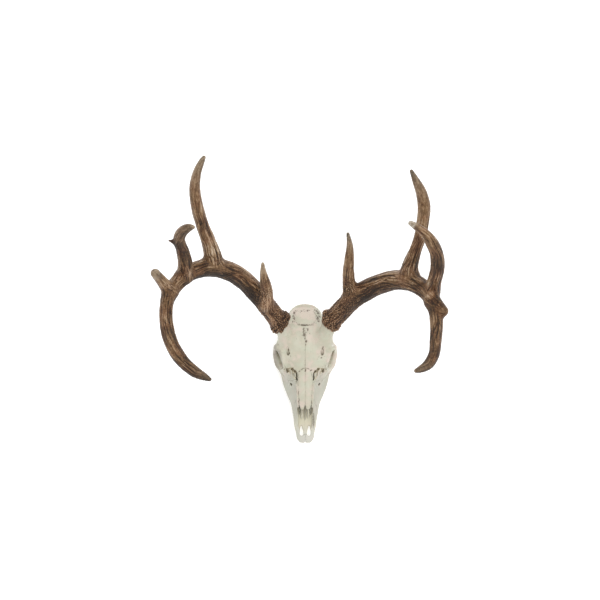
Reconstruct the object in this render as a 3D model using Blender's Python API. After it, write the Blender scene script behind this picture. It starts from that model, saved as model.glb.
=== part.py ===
"""White-tailed deer skull with both antlers, at life size, without the lower jaw.

It lies as it would on a shelf: on the chewing faces of its upper cheek teeth and on the tips of the two
paracondylar processes behind them. X runs across the skull, with the deer's left at +X. Y runs from the nose, at -Y,
to the back of the head. Z is up. The origin is under the middle of the model, on the surface it lies on.

The tables are in millimetres. The skull's own stations count Y from the tip of the premaxilla. The antlers' stations
are read on a front view of the face: a square grid of 600 by 600 units, 2 mm each at the forehead, with the row
counted downwards, and the reach in millimetres that the point stands out in front of the forehead.
"""

import math

import bmesh
import bpy
import numpy as np
from mathutils import Vector

MM = 0.001
GAP = 0.3  # the thin cut between two bones, and round the foot of a tine
SHARP = math.radians(50.0)

# The face view: how far the forehead leans back from level, and where the view's middle falls on the skull.
FOREHEAD_SLOPE = math.radians(16.0)
VIEW_DISTANCE = 2600.0  # from the eye to the forehead
UNIT = 2.0  # one grid unit at the forehead
VIEW_MIDDLE = 300.0
MIDLINE_COLUMN = 304.7
AXIS_HEIGHT = 295.7  # along the face, from the resting plane's nose end
FOREHEAD_REACH = 53.0

# The resting place of the origin, in skull coordinates.
ORIGIN_X = -9.9
ORIGIN_Y = 227.4

# Skull body, from the nose back. Each row: y, height of the midline on top, then three corners of the section from
# the top down (half width and height), then the height of the midline underneath.
BODY = (
    # y,  top,  (half, z) upper, (half, z) widest, (half, z) lower, bottom
    (2.1, 15.5, 4.5, 15.2, 8.0, 13.8, 6.0, 12.2, 12.0),
    (5, 16.5, 7.0, 16.0, 12.5, 14.0, 10.0, 12.0, 11.6),
    (12, 18.5, 10.0, 17.5, 16.8, 14.5, 14.0, 12.0, 11.6),
    (25, 24.0, 12.0, 22.0, 19.0, 17.0, 16.0, 13.0, 12.5),
    (37, 31.0, 14.0, 29.0, 22.0, 20.0, 18.0, 14.0, 13.5),
    (47, 38.0, 15.5, 36.0, 23.2, 24.0, 18.0, 15.5, 14.5),
    (59, 48.0, 16.0, 45.0, 25.2, 29.0, 18.5, 17.0, 15.5),
    (71, 59.0, 15.5, 56.0, 27.2, 32.0, 20.0, 17.5, 16.5),
    (83, 68.0, 15.0, 65.5, 30.2, 35.0, 22.0, 16.5, 17.0),
    (95, 75.5, 15.5, 73.0, 35.3, 37.0, 26.0, 14.5, 17.5),
    (108, 80.5, 17.0, 77.5, 40.3, 40.0, 29.0, 13.0, 18.0),
    (120, 85.0, 20.0, 80.5, 44.3, 43.0, 31.0, 12.5, 18.0),
    (132, 89.5, 27.0, 83.5, 46.3, 47.0, 32.5, 13.0, 18.0),
    (145, 95.0, 38.0, 88.0, 47.5, 55.0, 33.0, 15.0, 18.5),
    (157, 99.5, 46.0, 94.5, 47.0, 68.0, 31.0, 20.0, 22.0),
    (170, 103.5, 49.0, 98.5, 46.0, 80.0, 27.0, 32.0, 30.0),
    (183, 107.0, 49.5, 101.5, 43.0, 80.0, 24.0, 42.0, 37.0),
    (196, 110.0, 46.0, 105.0, 39.0, 80.0, 22.0, 46.0, 39.0),
    (208, 111.5, 40.0, 107.0, 37.5, 77.0, 24.0, 46.0, 38.0),
    (220, 110.5, 33.0, 105.5, 38.0, 74.0, 27.0, 45.0, 36.0),
    (232, 107.0, 29.5, 101.0, 39.0, 71.0, 29.0, 44.0, 35.0),
    (244, 101.5, 28.0, 95.0, 38.5, 68.0, 29.0, 43.0, 34.0),
    (256, 94.8, 26.0, 88.0, 35.0, 63.0, 26.0, 42.0, 33.0),
    (266, 88.0, 22.5, 81.0, 30.0, 58.0, 23.0, 42.0, 33.0),
    (273, 82.0, 17.0, 76.0, 24.0, 56.0, 18.0, 44.0, 36.0),
)

# Nasal bones: y, half width of the pair, height of their crown.
NASALS = (
    (61, 10.0, 63.6),
    (66, 12.0, 65.9),
    (74, 13.2, 69.8),
    (90, 13.2, 77.0),
    (110, 13.6, 83.8),
    (124, 14.6, 88.6),
    (133, 13.2, 92.0),
    (139, 9.5, 93.8),
)
NASAL_THICKNESS = 5.0

# The nasal cavity's open channel: y, top, half width above, half width below, bottom.
CAVITY = (
    (24, 40.0, 7.0, 5.0, 19.5),
    (34, 46.0, 11.0, 8.0, 20.4),
    (47, 54.0, 14.0, 11.0, 26.6),
    (60, 60.5, 14.5, 12.5, 34.0),
    (74, 61.5, 13.5, 13.0, 42.0),
    (90, 64.0, 11.5, 12.5, 48.0),
    (108, 67.0, 8.0, 8.5, 54.0),
)

# Bars of bone. Each is a run of (x, y, z, radius), made on both sides.
ORBIT_RIM = (
    (42.8, 147, 90.2, 3.3),
    (45.0, 157, 94.4, 3.2),
    (47.6, 167, 97.2, 3.2),
    (52.4, 175, 96.0, 3.4),
    (57.6, 181, 90.4, 3.5),
    (60.2, 184.5, 81.0, 3.5),
    (60.0, 184.0, 71.5, 3.3),
    (58.8, 178, 62.0, 3.0),
    (56.4, 168, 57.5, 2.9),
    (52.6, 157, 56.0, 3.1),
    (48.2, 147, 60.0, 3.5),
    (44.4, 141.5, 70.0, 3.5),
    (42.0, 141.0, 81.0, 3.3),
    (42.8, 147, 90.2, 3.3),
)
POSTORBITAL_FRONT = ((46.0, 175, 99.0, 4.4), (52.6, 180.5, 95.0, 4.4), (57.6, 185.0, 86.0, 4.2), (60.2, 188.0, 74.0, 3.7), (60.0, 189.5, 64.0, 3.5))
POSTORBITAL_BACK = ((44.0, 197, 101.5, 6.4), (49.8, 195.0, 94.5, 5.0), (54.2, 192.0, 86.0, 3.9), (57.6, 190.5, 76.0, 3.4))
CHEEK_BAR = (
    (38.0, 112, 38.0, 2.6),
    (42.0, 127, 41.0, 3.9),
    (46.4, 141, 43.6, 4.5),
    (53.6, 152, 46.0, 4.3),
    (58.8, 165, 48.6, 4.1),
    (61.6, 178, 52.4, 3.8),
    (60.2, 189, 56.6, 3.8),
    (56.0, 198, 58.0, 3.8),
    (52.0, 208, 57.6, 3.8),
    (48.4, 217, 55.6, 4.2),
    (43.4, 225, 53.6, 5.0),
    (36.0, 231, 52.0, 6.3),
)
CHEEK_SHELF = (
    (42.0, 134, 50.0, 4.0),
    (47.5, 146, 51.5, 4.0),
    (53.5, 158, 51.4, 4.0),
    (58.0, 170, 53.0, 3.8),
    (60.4, 181, 57.0, 3.6),
    (58.5, 190, 60.0, 3.2),
    (54.5, 200, 60.8, 3.0),
    (50.8, 209, 60.0, 2.8),
)
CHEEK_MID = ((47.6, 146, 55.6, 3.6), (53.4, 157, 54.6, 3.4), (58.0, 168, 55.4, 3.2), (60.6, 178, 58.2, 3.2), (60.8, 186, 63.6, 3.2))
PEDICLE = ((34.0, 200, 95.0, 19.0), (39.5, 207, 107.0, 17.0), (44.5, 214.5, 119.0, 15.3), (49.0, 221.5, 131.0, 15.0))
PARACONDYLAR = ((27.0, 257, 46.0, 6.5), (27.0, 260, 30.0, 5.5), (26.0, 262, 15.0, 4.8), (25.0, 262.5, 2.6, 4.0))
NUCHAL_CREST = ((0.0, 272.5, 83.0, 3.6), (11.0, 272.5, 81.5, 3.4), (20.0, 270.0, 75.0, 3.2), (26.5, 265.0, 65.0, 3.2))
POSTGLENOID = ((40.0, 229, 50.0, 5.5), (38.0, 232, 43.0, 3.6))
MEATUS = ((27.0, 236, 47.0, 6.0), (37.0, 239, 49.0, 4.6))
SKULL_FLOOR = ((0.0, 196, 45.0, 8.0), (0.0, 215, 40.0, 9.0), (0.0, 240, 37.5, 10.5), (0.0, 264, 37.0, 12.0))

# Rounded lumps: centre and the three half sizes, on both sides.
CONDYLE = ((14.5, 274.5, 37.5), (9.0, 9.0, 11.5))
BULLA = ((21.5, 229.0, 34.0), (7.0, 11.0, 8.5))
GLENOID = ((43.0, 223.0, 52.0), (11.0, 9.0, 5.5))
MASTOID = ((30.0, 256.0, 54.0), (5.5, 8.0, 13.0))
ORBIT_FLOOR = ((50.0, 169.0, 54.0), (13.6, 24.5, 3.8))

# What is hollowed out, on both sides: the eye socket, the space behind it, the pit before it, and the openings.
SOCKET = ((60.0, 164.5, 75.6), (40.0, 20.6, 18.6))
SOCKET_FLOOR = ((47.0, 181.0, 61.0), (26.0, 19.0, 21.0))
TEMPORAL = ((54.0, 197.0, 76.0), (22.0, 16.5, 21.0))
TEAR_PIT = ((45.0, 134.0, 76.0), (8.0, 13.0, 9.0))
PALATE_SLOT = ((7.2, 21.8), (8.0, 35.0), 3.7)  # its two ends (x, y) and half width

# The gap before the orbit, where four bones of the face don't meet: its outline from above, and how far it goes in.
FACE_GAP = ((15.8, 119.0), (15.8, 131.0), (19.4, 138.0), (25.5, 141.8), (31.5, 142.6), (37.4, 141.0), (37.0, 134.0), (33.0, 125.0), (27.0, 116.0), (21.0, 112.0), (17.4, 113.0))
FACE_GAP_DEPTH = 5.0

# Pterygoid block under the skull, and the rear nostril that opens in it: y from, y to, half width, bottom, top.
PTERYGOIDS = ((160.0, 15.0), (184.0, 18.0), (203.0, 30.0), (205.0, 48.0), (160.0, 48.0))  # y, z
PTERYGOID_HALF = 14.0
CHOANA = ((168.0, 8.0), (215.0, 8.0), (215.0, 36.0), (176.0, 38.0), (168.0, 30.0))  # y, z
CHOANA_HALF = 10.0
FORAMEN = ((0.0, 292.0, 43.0, 11.5), (0.0, 262.0, 46.5, 11.0), (0.0, 244.0, 52.0, 10.0))

# Cheek teeth: the row's line of centres bows outwards; y, x, length, width, from the front premolar back.
TEETH = (
    (97.0, 25.0, 10.5, 9.5),
    (108.0, 27.2, 11.5, 11.5),
    (119.5, 28.8, 11.5, 13.0),
    (132.5, 30.0, 14.5, 14.5),
    (147.5, 30.0, 15.5, 15.0),
    (163.0, 28.4, 15.5, 14.0),
)
TOOTH_TOP = 20.0

# Antlers, right side of the deer first. Each run: column, row, reach, radius.
ANTLERS = {
    "right": {
        "beam": (
            (279.0, 321.0, 16, 18.5),
            (268.8, 308.0, 32, 18.5),
            (256.8, 293.5, 50, 18.6),
            (244.0, 280.3, 72, 18.4),
            (228.8, 270.7, 96, 18.4),
            (212.0, 266.6, 120, 17.8),
            (195.0, 269.8, 144, 16.0),
            (179.6, 279.0, 168, 15.0),
            (168.4, 294.4, 192, 13.6),
            (165.3, 311.0, 216, 12.2),
            (166.4, 328.0, 238, 12.1),
            (172.1, 346.1, 260, 12.1),
            (182.1, 360.8, 278, 11.6),
            (194.2, 371.0, 292, 10.0),
            (203.4, 376.0, 300, 7.0),
            (209.0, 378.8, 304, 3.6),
        ),
        "burr": 27.5,
        "cuts": (3.35, 5.5, 8.2),
        "tines": {
            "brow_tine": (
                (266.0, 303.0, 52, 14.0),
                (266.4, 291.5, 72, 11.4),
                (264.6, 280.5, 90, 9.4),
                (262.8, 271.5, 104, 6.2),
                (262.2, 263.2, 114, 3.1),
            ),
            "second_tine": (
                (212.6, 263.0, 118, 20.5),
                (211.8, 254.0, 136, 16.8),
                (207.6, 240.0, 156, 13.4),
                (201.4, 224.0, 178, 12.2),
                (196.5, 206.0, 200, 11.5),
                (194.1, 188.0, 220, 10.2),
                (196.2, 173.0, 236, 8.0),
                (200.6, 162.0, 248, 5.8),
                (203.4, 156.8, 253, 3.5),
            ),
            "third_tine": (
                (184.4, 274.0, 168, 16.0),
                (184.8, 263.5, 190, 13.4),
                (182.0, 250.3, 214, 11.6),
                (178.4, 239.5, 238, 10.8),
                (181.2, 231.8, 258, 10.0),
                (187.2, 227.4, 272, 7.8),
                (192.6, 226.6, 280, 3.6),
            ),
            "fourth_tine": (
                (169.4, 290.4, 192, 13.6),
                (163.6, 283.4, 212, 11.2),
                (157.0, 275.6, 234, 9.2),
                (154.7, 272.8, 244, 8.6),
            ),
            "small_point": (
                (178.2, 242.6, 232, 6.0),
                (173.8, 241.4, 236, 4.6),
                (168.4, 240.0, 240, 1.4),
            ),
        },
    },
    "left": {
        "beam": (
            (331.0, 320.0, 16, 19.5),
            (341.2, 309.6, 32, 19.8),
            (351.2, 299.4, 50, 19.8),
            (363.8, 290.6, 70, 19.8),
            (378.8, 283.9, 92, 18.8),
            (394.0, 279.8, 114, 18.8),
            (408.5, 280.6, 138, 18.0),
            (421.5, 287.0, 162, 16.2),
            (430.6, 297.2, 186, 14.2),
            (435.2, 311.0, 208, 12.6),
            (436.0, 326.0, 230, 11.2),
            (435.0, 341.0, 252, 10.7),
            (433.6, 353.6, 270, 10.3),
            (428.4, 363.1, 284, 9.5),
            (421.4, 367.9, 293, 7.0),
            (415.6, 370.3, 297, 4.0),
        ),
        "burr": 27.0,
        "cuts": (2.55, 6.6, 8.6),
        "tines": {
            "brow_tine": (
                (350.4, 298.0, 54, 16.0),
                (349.0, 284.5, 74, 13.4),
                (347.9, 271.0, 94, 11.2),
                (348.9, 257.0, 114, 9.0),
                (349.2, 244.5, 130, 6.2),
                (347.4, 233.4, 143, 3.1),
            ),
            "second_tine": (
                (408.6, 275.5, 136, 19.6),
                (409.4, 265.8, 150, 15.6),
                (414.7, 250.4, 166, 11.6),
                (419.4, 236.5, 180, 11.4),
                (422.2, 221.0, 194, 12.0),
                (423.5, 206.0, 208, 11.8),
                (420.9, 192.6, 220, 10.3),
                (416.0, 181.5, 232, 7.4),
                (410.9, 170.6, 241, 3.4),
            ),
            "third_tine": (
                (431.4, 290.5, 180, 16.0),
                (434.2, 279.5, 202, 13.2),
                (437.0, 266.5, 226, 13.0),
                (436.2, 253.6, 248, 12.6),
                (431.6, 242.8, 266, 11.6),
                (425.4, 234.0, 278, 9.0),
                (417.4, 227.2, 287, 7.0),
                (410.1, 222.6, 293, 4.6),
            ),
            "fourth_tine": (
                (431.5, 300.5, 196, 14.0),
                (437.6, 306.4, 211, 12.4),
                (443.3, 310.6, 224, 8.8),
            ),
        },
    },
}

BONE = ("bone", (0.55, 0.53, 0.43), 0.42)
TOOTH_AND_BONE = ("bone_face", (0.55, 0.53, 0.44), 0.40)
HORN = ("antler", (0.13, 0.075, 0.042), 0.55)

SCREEN_X = MIDLINE_COLUMN - VIEW_MIDDLE


def on_face(column, row, reach):
    """The skull point seen at a place of the face view's grid, at that reach in front of the forehead."""
    size = UNIT * (VIEW_DISTANCE - reach) / VIEW_DISTANCE
    x = (column - VIEW_MIDDLE) * size - SCREEN_X * UNIT
    up = AXIS_HEIGHT - (row - VIEW_MIDDLE) * size
    out = FOREHEAD_REACH + reach
    c, s = math.cos(FOREHEAD_SLOPE), math.sin(FOREHEAD_SLOPE)
    return Vector((x, up * c - out * s, up * s + out * c))


def settle(co):
    """From skull millimetres to the model's metres."""
    return Vector(((co[0] - ORIGIN_X) * MM, (co[1] - ORIGIN_Y) * MM, co[2] * MM))


def spline(rows, t):
    """A smooth curve through the rows (Catmull-Rom), at t counted in rows."""
    rows = np.asarray(rows, float)
    i = min(int(t), len(rows) - 2)
    f = t - i
    p0, p1, p2, p3 = (rows[min(max(i + k, 0), len(rows) - 1)] for k in (-1, 0, 1, 2))
    m1, m2 = (p2 - p0) / 2, (p3 - p1) / 2
    return (
        (2 * f**3 - 3 * f**2 + 1) * p1
        + (f**3 - 2 * f**2 + f) * m1
        + (3 * f**2 - 2 * f**3) * p2
        + (f**3 - f**2) * m2
    )


def new_object(name, bm, material=None, helper=False):
    bmesh.ops.recalc_face_normals(bm, faces=bm.faces)
    me = bpy.data.meshes.new(name)
    bm.to_mesh(me)
    bm.free()
    ob = bpy.data.objects.new(name, me)
    bpy.context.scene.collection.objects.link(ob)
    if material:
        me.materials.append(material)
    if helper:
        ob.hide_render = True
        ob.display_type = "WIRE"
    return ob


def rings_to(bm, rings):
    """Bridges closed rings of settled points into a capped body."""
    loops = [[bm.verts.new(settle(p)) for p in ring] for ring in rings]
    n = len(loops[0])
    for a, b in zip(loops, loops[1:]):
        for k in range(n):
            bm.faces.new((a[k], a[(k + 1) % n], b[(k + 1) % n], b[k]))
    bm.faces.new(loops[0][::-1])
    bm.faces.new(loops[-1])


def section(row, points=7):
    """The half section's corners as a smooth closed ring, mirrored in the midline."""
    _, top, a1, z1, a2, z2, a3, z3, bottom = row
    half = [(0, top), (a1, z1), (a2, z2), (a3, z3), (0, bottom)]
    mirror = [(-half[1][0], half[1][1])] + half + [(-half[3][0], half[3][1])]
    ring = []
    for i in range(4):
        for k in range(points):
            p = spline(mirror[i : i + 4], 1 + k / points)
            ring.append((max(p[0], 0.0), p[1]))
    ring.append((0, bottom))
    other = [(-x, z) for x, z in ring[1:-1]][::-1]
    return ring + other


def body_loft(bm, table, step=5.0):
    table = np.asarray(table, float)
    rings = []
    spans = [max(1, round((b[0] - a[0]) / step)) for a, b in zip(table, table[1:])]
    for i, n in enumerate(spans):
        for k in range(n):
            row = spline(table, i + k / n)
            rings.append([(x, row[0], z) for x, z in section(row)])
    rings.append([(x, table[-1][0], z) for x, z in section(table[-1])])
    rings_to(bm, rings)


def tube(bm, run, sides=12, step=6.0, mirror=False, flatten=None):
    """A round bar of changing thickness through a run of (x, y, z, radius), with rounded ends."""
    run = np.asarray(run, float)
    lengths = np.linalg.norm(np.diff(run[:, :3], axis=0), axis=1)
    rows = []
    for i, length in enumerate(lengths):
        n = max(2, round(length / step))
        rows += [spline(run, i + k / n) for k in range(n)]
    rows.append(run[-1])
    rows = np.array(rows)
    along = np.gradient(rows[:, :3], axis=0)
    along /= np.linalg.norm(along, axis=1)[:, None]
    side = np.cross(along[0], (0.3, 0.2, 0.93))
    rings = []
    first, last = rows[0], rows[-1]
    plan = [(first[:3] - along[0] * first[3] * math.cos(a), first[3] * math.sin(a), along[0]) for a in (0.35, 0.9)]
    plan += [(row[:3], row[3], d) for row, d in zip(rows, along)]
    plan += [(last[:3] + along[-1] * last[3] * math.cos(a), last[3] * math.sin(a), along[-1]) for a in (0.9, 0.35)]
    for centre, radius, d in plan:
        side = side - d * (side @ d)
        side /= np.linalg.norm(side)
        up = np.cross(d, side)
        ring = []
        for k in range(sides):
            a = 2 * math.pi * k / sides
            p = centre + radius * (math.cos(a) * side + math.sin(a) * up)
            ring.append((-p[0], p[1], p[2]) if mirror else tuple(p))
        rings.append(ring)
    rings_to(bm, rings)


def ball(bm, centre, sizes, mirror=False, detail=3):
    x, y, z = centre
    made = bmesh.ops.create_icosphere(bm, subdivisions=detail, radius=1.0)
    for v in made["verts"]:
        p = (v.co.x * sizes[0] + x, v.co.y * sizes[1] + y, v.co.z * sizes[2] + z)
        v.co = settle((-p[0], p[1], p[2]) if mirror else p)


def block(bm, low, high):
    made = bmesh.ops.create_cube(bm, size=1.0)
    lo, hi = settle(low), settle(high)
    for v in made["verts"]:
        v.co = Vector(((lo[i] + hi[i]) / 2 + v.co[i] * (hi[i] - lo[i])) for i in range(3))


def prism(bm, corners, low, high, axis):
    """An outline extruded along an axis, from low to high. The outline's points are the two other coordinates."""
    order = {0: lambda u, v, w: (w, u, v), 2: lambda u, v, w: (u, v, w)}[axis]
    rings_to(bm, [[order(u, v, w) for u, v in corners] for w in (low, high)])


def frozen(ob, name, helper=True):
    """The object with its modifiers applied, as a new mesh object."""
    bpy.context.view_layer.update()
    graph = bpy.context.evaluated_depsgraph_get()
    me = bpy.data.meshes.new_from_object(ob.evaluated_get(graph))
    copy = bpy.data.objects.new(name, me)
    bpy.context.scene.collection.objects.link(copy)
    if helper:
        copy.hide_render = True
        copy.display_type = "WIRE"
    bpy.data.objects.remove(ob)
    return copy


def add_boolean(ob, other, operation, solver="EXACT"):
    m = ob.modifiers.new(operation.lower(), "BOOLEAN")
    m.operation = operation
    m.object = other
    m.solver = solver
    return m


def remesh(ob, voxel):
    m = ob.modifiers.new("fuse", "REMESH")
    m.mode = "VOXEL"
    m.voxel_size = voxel * MM
    return m


def cut_by(ob, bm, name):
    add_boolean(ob, new_object(name, bm, helper=True), "DIFFERENCE", "MANIFOLD")


def both(make, *args, **more):
    for mirror in (False, True):
        make(*args, mirror=mirror, **more)


def face_height(x, y):
    """The level of the face's upper surface before the orbits."""
    top = np.interp(y, [row[0] for row in BODY], [row[1] for row in BODY])
    return float(top - 6.0 * (x / 27.0) ** 2.2)


def skull_mass():
    """All of the skull's bone in one closed body."""
    # The box of bone that the sockets are hollowed from.
    bm = bmesh.new()
    body_loft(bm, BODY)
    body = new_object("skull_body", bm, helper=True)
    remesh(body, 2.0)

    bm = bmesh.new()
    for centre, sizes in (SOCKET, SOCKET_FLOOR, TEMPORAL, TEAR_PIT):
        both(ball, bm, centre, sizes)
    sockets = new_object("sockets", bm, helper=True)
    remesh(sockets, 2.0)
    sockets = frozen(sockets, "socket_hollows")
    add_boolean(body, sockets, "DIFFERENCE", "MANIFOLD")

    bm = bmesh.new()
    rings = []
    for k in range(4 * (len(CAVITY) - 1) + 1):
        y, top, above, below, bottom = spline(CAVITY, k / 4)
        rings.append([(-above, y, top), (above, y, top), (above, y, (top + bottom) / 2), (below, y, bottom + 2), (below - 2, y, bottom), (2 - below, y, bottom), (-below, y, bottom + 2), (-above, y, (top + bottom) / 2)])
    rings_to(bm, rings)
    cut_by(body, bm, "nasal_cavity")
    body = frozen(body, "hollowed")

    # Everything that stands on it or hangs from it.
    bm = bmesh.new()
    bm.from_mesh(body.data)
    bpy.data.objects.remove(body)
    for run in (ORBIT_RIM, POSTORBITAL_FRONT, POSTORBITAL_BACK, CHEEK_BAR, CHEEK_SHELF, CHEEK_MID, PEDICLE, PARACONDYLAR, NUCHAL_CREST, POSTGLENOID, MEATUS):
        both(tube, bm, run)
    tube(bm, SKULL_FLOOR)
    for centre, sizes in (CONDYLE, BULLA, GLENOID, MASTOID, ORBIT_FLOOR):
        both(ball, bm, centre, sizes)
    prism(bm, PTERYGOIDS, -PTERYGOID_HALF, PTERYGOID_HALF, 0)
    rings = []
    for k in range(3 * (len(NASALS) - 1) + 1):
        y, half, crown = spline(NASALS, k / 3)
        arch = [(half * math.sin(a), y, crown - 3.2 * (1 - math.cos(a * 1.0))) for a in np.linspace(-1.45, 1.45, 9)]
        arch = [(x * 1.01, yy, z) for x, yy, z in arch]
        under = [(x * 0.92, yy, z - NASAL_THICKNESS) for x, yy, z in arch][::-1]
        rings.append(arch + under)
    rings_to(bm, rings)
    # The vomer and the scrolls of bone inside the nose.
    tube(bm, ((0, 16, 14.0, 2.4), (0, 38, 20.0, 2.2), (0, 50, 27.5, 2.2), (0, 62, 34.5, 2.2), (0, 108, 54.0, 2.8)))
    both(tube, bm, ((7.2, 54, 36.6, 3.4), (7.2, 66, 44.0, 4.6), (7.2, 84, 54.5, 5.4), (7.2, 108, 64.0, 5.4)))
    for y, x, length, width in TEETH:
        for s in (1, -1):
            tooth(bm, s * x, y, length, width)
    whole = new_object("skull_whole", bm, helper=True)
    remesh(whole, 1.7)

    bm = bmesh.new()
    prism(bm, CHOANA, -CHOANA_HALF, CHOANA_HALF, 0)
    (x0, ya), (x1, yb), half = PALATE_SLOT
    for s in (1, -1):
        outline = [(s * (x0 - half), ya), (s * x0, ya - 3), (s * (x0 + half), ya), (s * (x1 + half), yb), (s * x1, yb + 4), (s * (x1 - half), yb)]
        prism(bm, outline, 2.0, 30.0, 2)
    cut_by(whole, bm, "mouth_openings")
    bm = bmesh.new()
    for s in (1, -1):
        rings = []
        for rise in (-FACE_GAP_DEPTH, 14.0):
            rings.append([(s * x, y, face_height(x, y) + rise) for x, y in FACE_GAP])
        rings_to(bm, rings)
    cut_by(whole, bm, "face_gaps")
    bm = bmesh.new()
    tube(bm, FORAMEN)
    cut_by(whole, bm, "foramen_magnum")
    whole = frozen(whole, "skull_cut")
    m = whole.modifiers.new("thin", "DECIMATE")
    m.ratio = min(1.0, SKULL_FACES / max(1, sum(len(p.vertices) - 2 for p in whole.data.polygons)))
    m.use_collapse_triangulate = True
    # The level it lies on: the chewing faces and the two process tips.
    shelf = volume("shelf", lambda b: block(b, (-90, -20, -30), (90, 320, 0.0)))
    add_boolean(whole, shelf, "DIFFERENCE", "MANIFOLD")
    return frozen(whole, "skull_solid")


SKULL_FACES = 2690


def tooth(bm, x, y, length, width):
    rings = []
    for z, grow in ((-3.0, 0.94), (3.0, 1.0), (9.0, 0.98), (TOOTH_TOP, 0.8)):
        ring = []
        for k in range(12):
            a = 2 * math.pi * (k + 0.5) / 12
            c, s = math.cos(a), math.sin(a)
            ring.append((x + math.copysign(abs(c) ** 0.6, c) * width / 2 * grow, y + math.copysign(abs(s) ** 0.6, s) * (length / 2 + 0.4) * grow, z))
        rings.append(ring)
    rings_to(bm, rings)


def slanted(bm, points, low_x, high_x):
    """A body whose outline is in Y and Z, across the skull."""
    prism(bm, points, low_x, high_x, 0)


FAR = 400.0
# The bones' borders in the side view, as lines (y at one height, y at another).
PREMAXILLA_BACK = ((42.0, 0.0), (84.0, 75.0))
FACE_BACK = ((176.0, 0.0), (136.0, 100.0))
FRONTAL_BACK = ((192.0, 20.0), (226.0, 110.0))
CHEEK_BOX = ((43.5, 150.0, 36.0), (90.0, 206.0, 88.0))
NASAL_BED = 2.6  # how deep under their crown the nasal bones reach at the sides


def side_of(line, forward, gap):
    """The outline of all that lies before or behind a slanted border."""
    (y0, z0), (y1, z1) = line
    slope = (y1 - y0) / (z1 - z0)
    low, high = -60.0, 260.0
    ya, yb = y0 + slope * (low - z0), y0 + slope * (high - z0)
    if forward:
        return [(-FAR, low), (ya - gap, low), (yb - gap, high), (-FAR, high)]
    return [(ya + gap, low), (FAR * 2, low), (FAR * 2, high), (yb + gap, high)]


def nasal_bed(bm, grow):
    """The space that the pair of nasal bones fills."""
    rings = []
    for k in range(3 * (len(NASALS) - 1) + 1):
        y, half, crown = spline(NASALS, k / 3)
        if k == 0:
            y -= 6.0
        y += grow if k > 0 else 0.0
        w = half + grow
        deep = crown - NASAL_THICKNESS - 1.4 - grow
        rings.append([(-w, y, deep), (w, y, deep), (w, y, crown + 20), (-w, y, crown + 20)])
    rings_to(bm, rings)


def part_of(solid, name, material, keep=(), drop=()):
    """A copy of the solid, kept inside some bodies and cut by others."""
    copy = bpy.data.objects.new(name, solid.data.copy())
    bpy.context.scene.collection.objects.link(copy)
    for shape in keep:
        add_boolean(copy, shape, "INTERSECT", "MANIFOLD")
    for shape in drop:
        add_boolean(copy, shape, "DIFFERENCE", "MANIFOLD")
    copy.data.materials.clear()
    copy.data.materials.append(finish(name, material))
    return copy


def largest_only(ob):
    """Keeps the largest connected piece, and drops crumbs that a thin cut leaves."""
    name = ob.name
    ob.name = name + "_whole"
    made = frozen(ob, name, helper=False)
    bm = bmesh.new()
    bm.from_mesh(made.data)
    seen, groups = set(), []
    for v in bm.verts:
        if v in seen:
            continue
        group, stack = [], [v]
        seen.add(v)
        while stack:
            a = stack.pop()
            group.append(a)
            for e in a.link_edges:
                b = e.other_vert(a)
                if b not in seen:
                    seen.add(b)
                    stack.append(b)
        groups.append(group)
    groups.sort(key=len)
    crumbs = [v for g in groups[:-1] for v in g]
    if crumbs:
        bmesh.ops.delete(bm, geom=crumbs, context="VERTS")
    bm.to_mesh(made.data)
    bm.free()
    made.data.shade_smooth()
    made.data.set_sharp_from_angle(angle=SHARP)
    return made


def finish(node, spec):
    name, colour, rough = spec
    m = bpy.data.materials.new(f"{node}_{name}")
    m.use_nodes = True
    b = m.node_tree.nodes["Principled BSDF"]
    b.inputs["Base Color"].default_value = (*colour, 1.0)
    b.inputs["Roughness"].default_value = rough
    return m


def volume(name, build):
    bm = bmesh.new()
    build(bm)
    return new_object(name, bm, helper=True)


def antler_foot(side):
    """The space round an antler's foot, which the pedicle stops short of."""
    plan = ANTLERS[side]
    run = world_run(plan["beam"])
    foot = volume(f"foot_space_{side}", lambda b: tube(b, [(x, y, z, r + GAP) for x, y, z, r in run], sides=9, step=20.0))
    burr = volume(f"burr_space_{side}", lambda b: ring_profile(b, run, 0.0, plan["burr"] + GAP * 2, 14.2))
    add_boolean(foot, burr, "UNION")
    return foot


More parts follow.
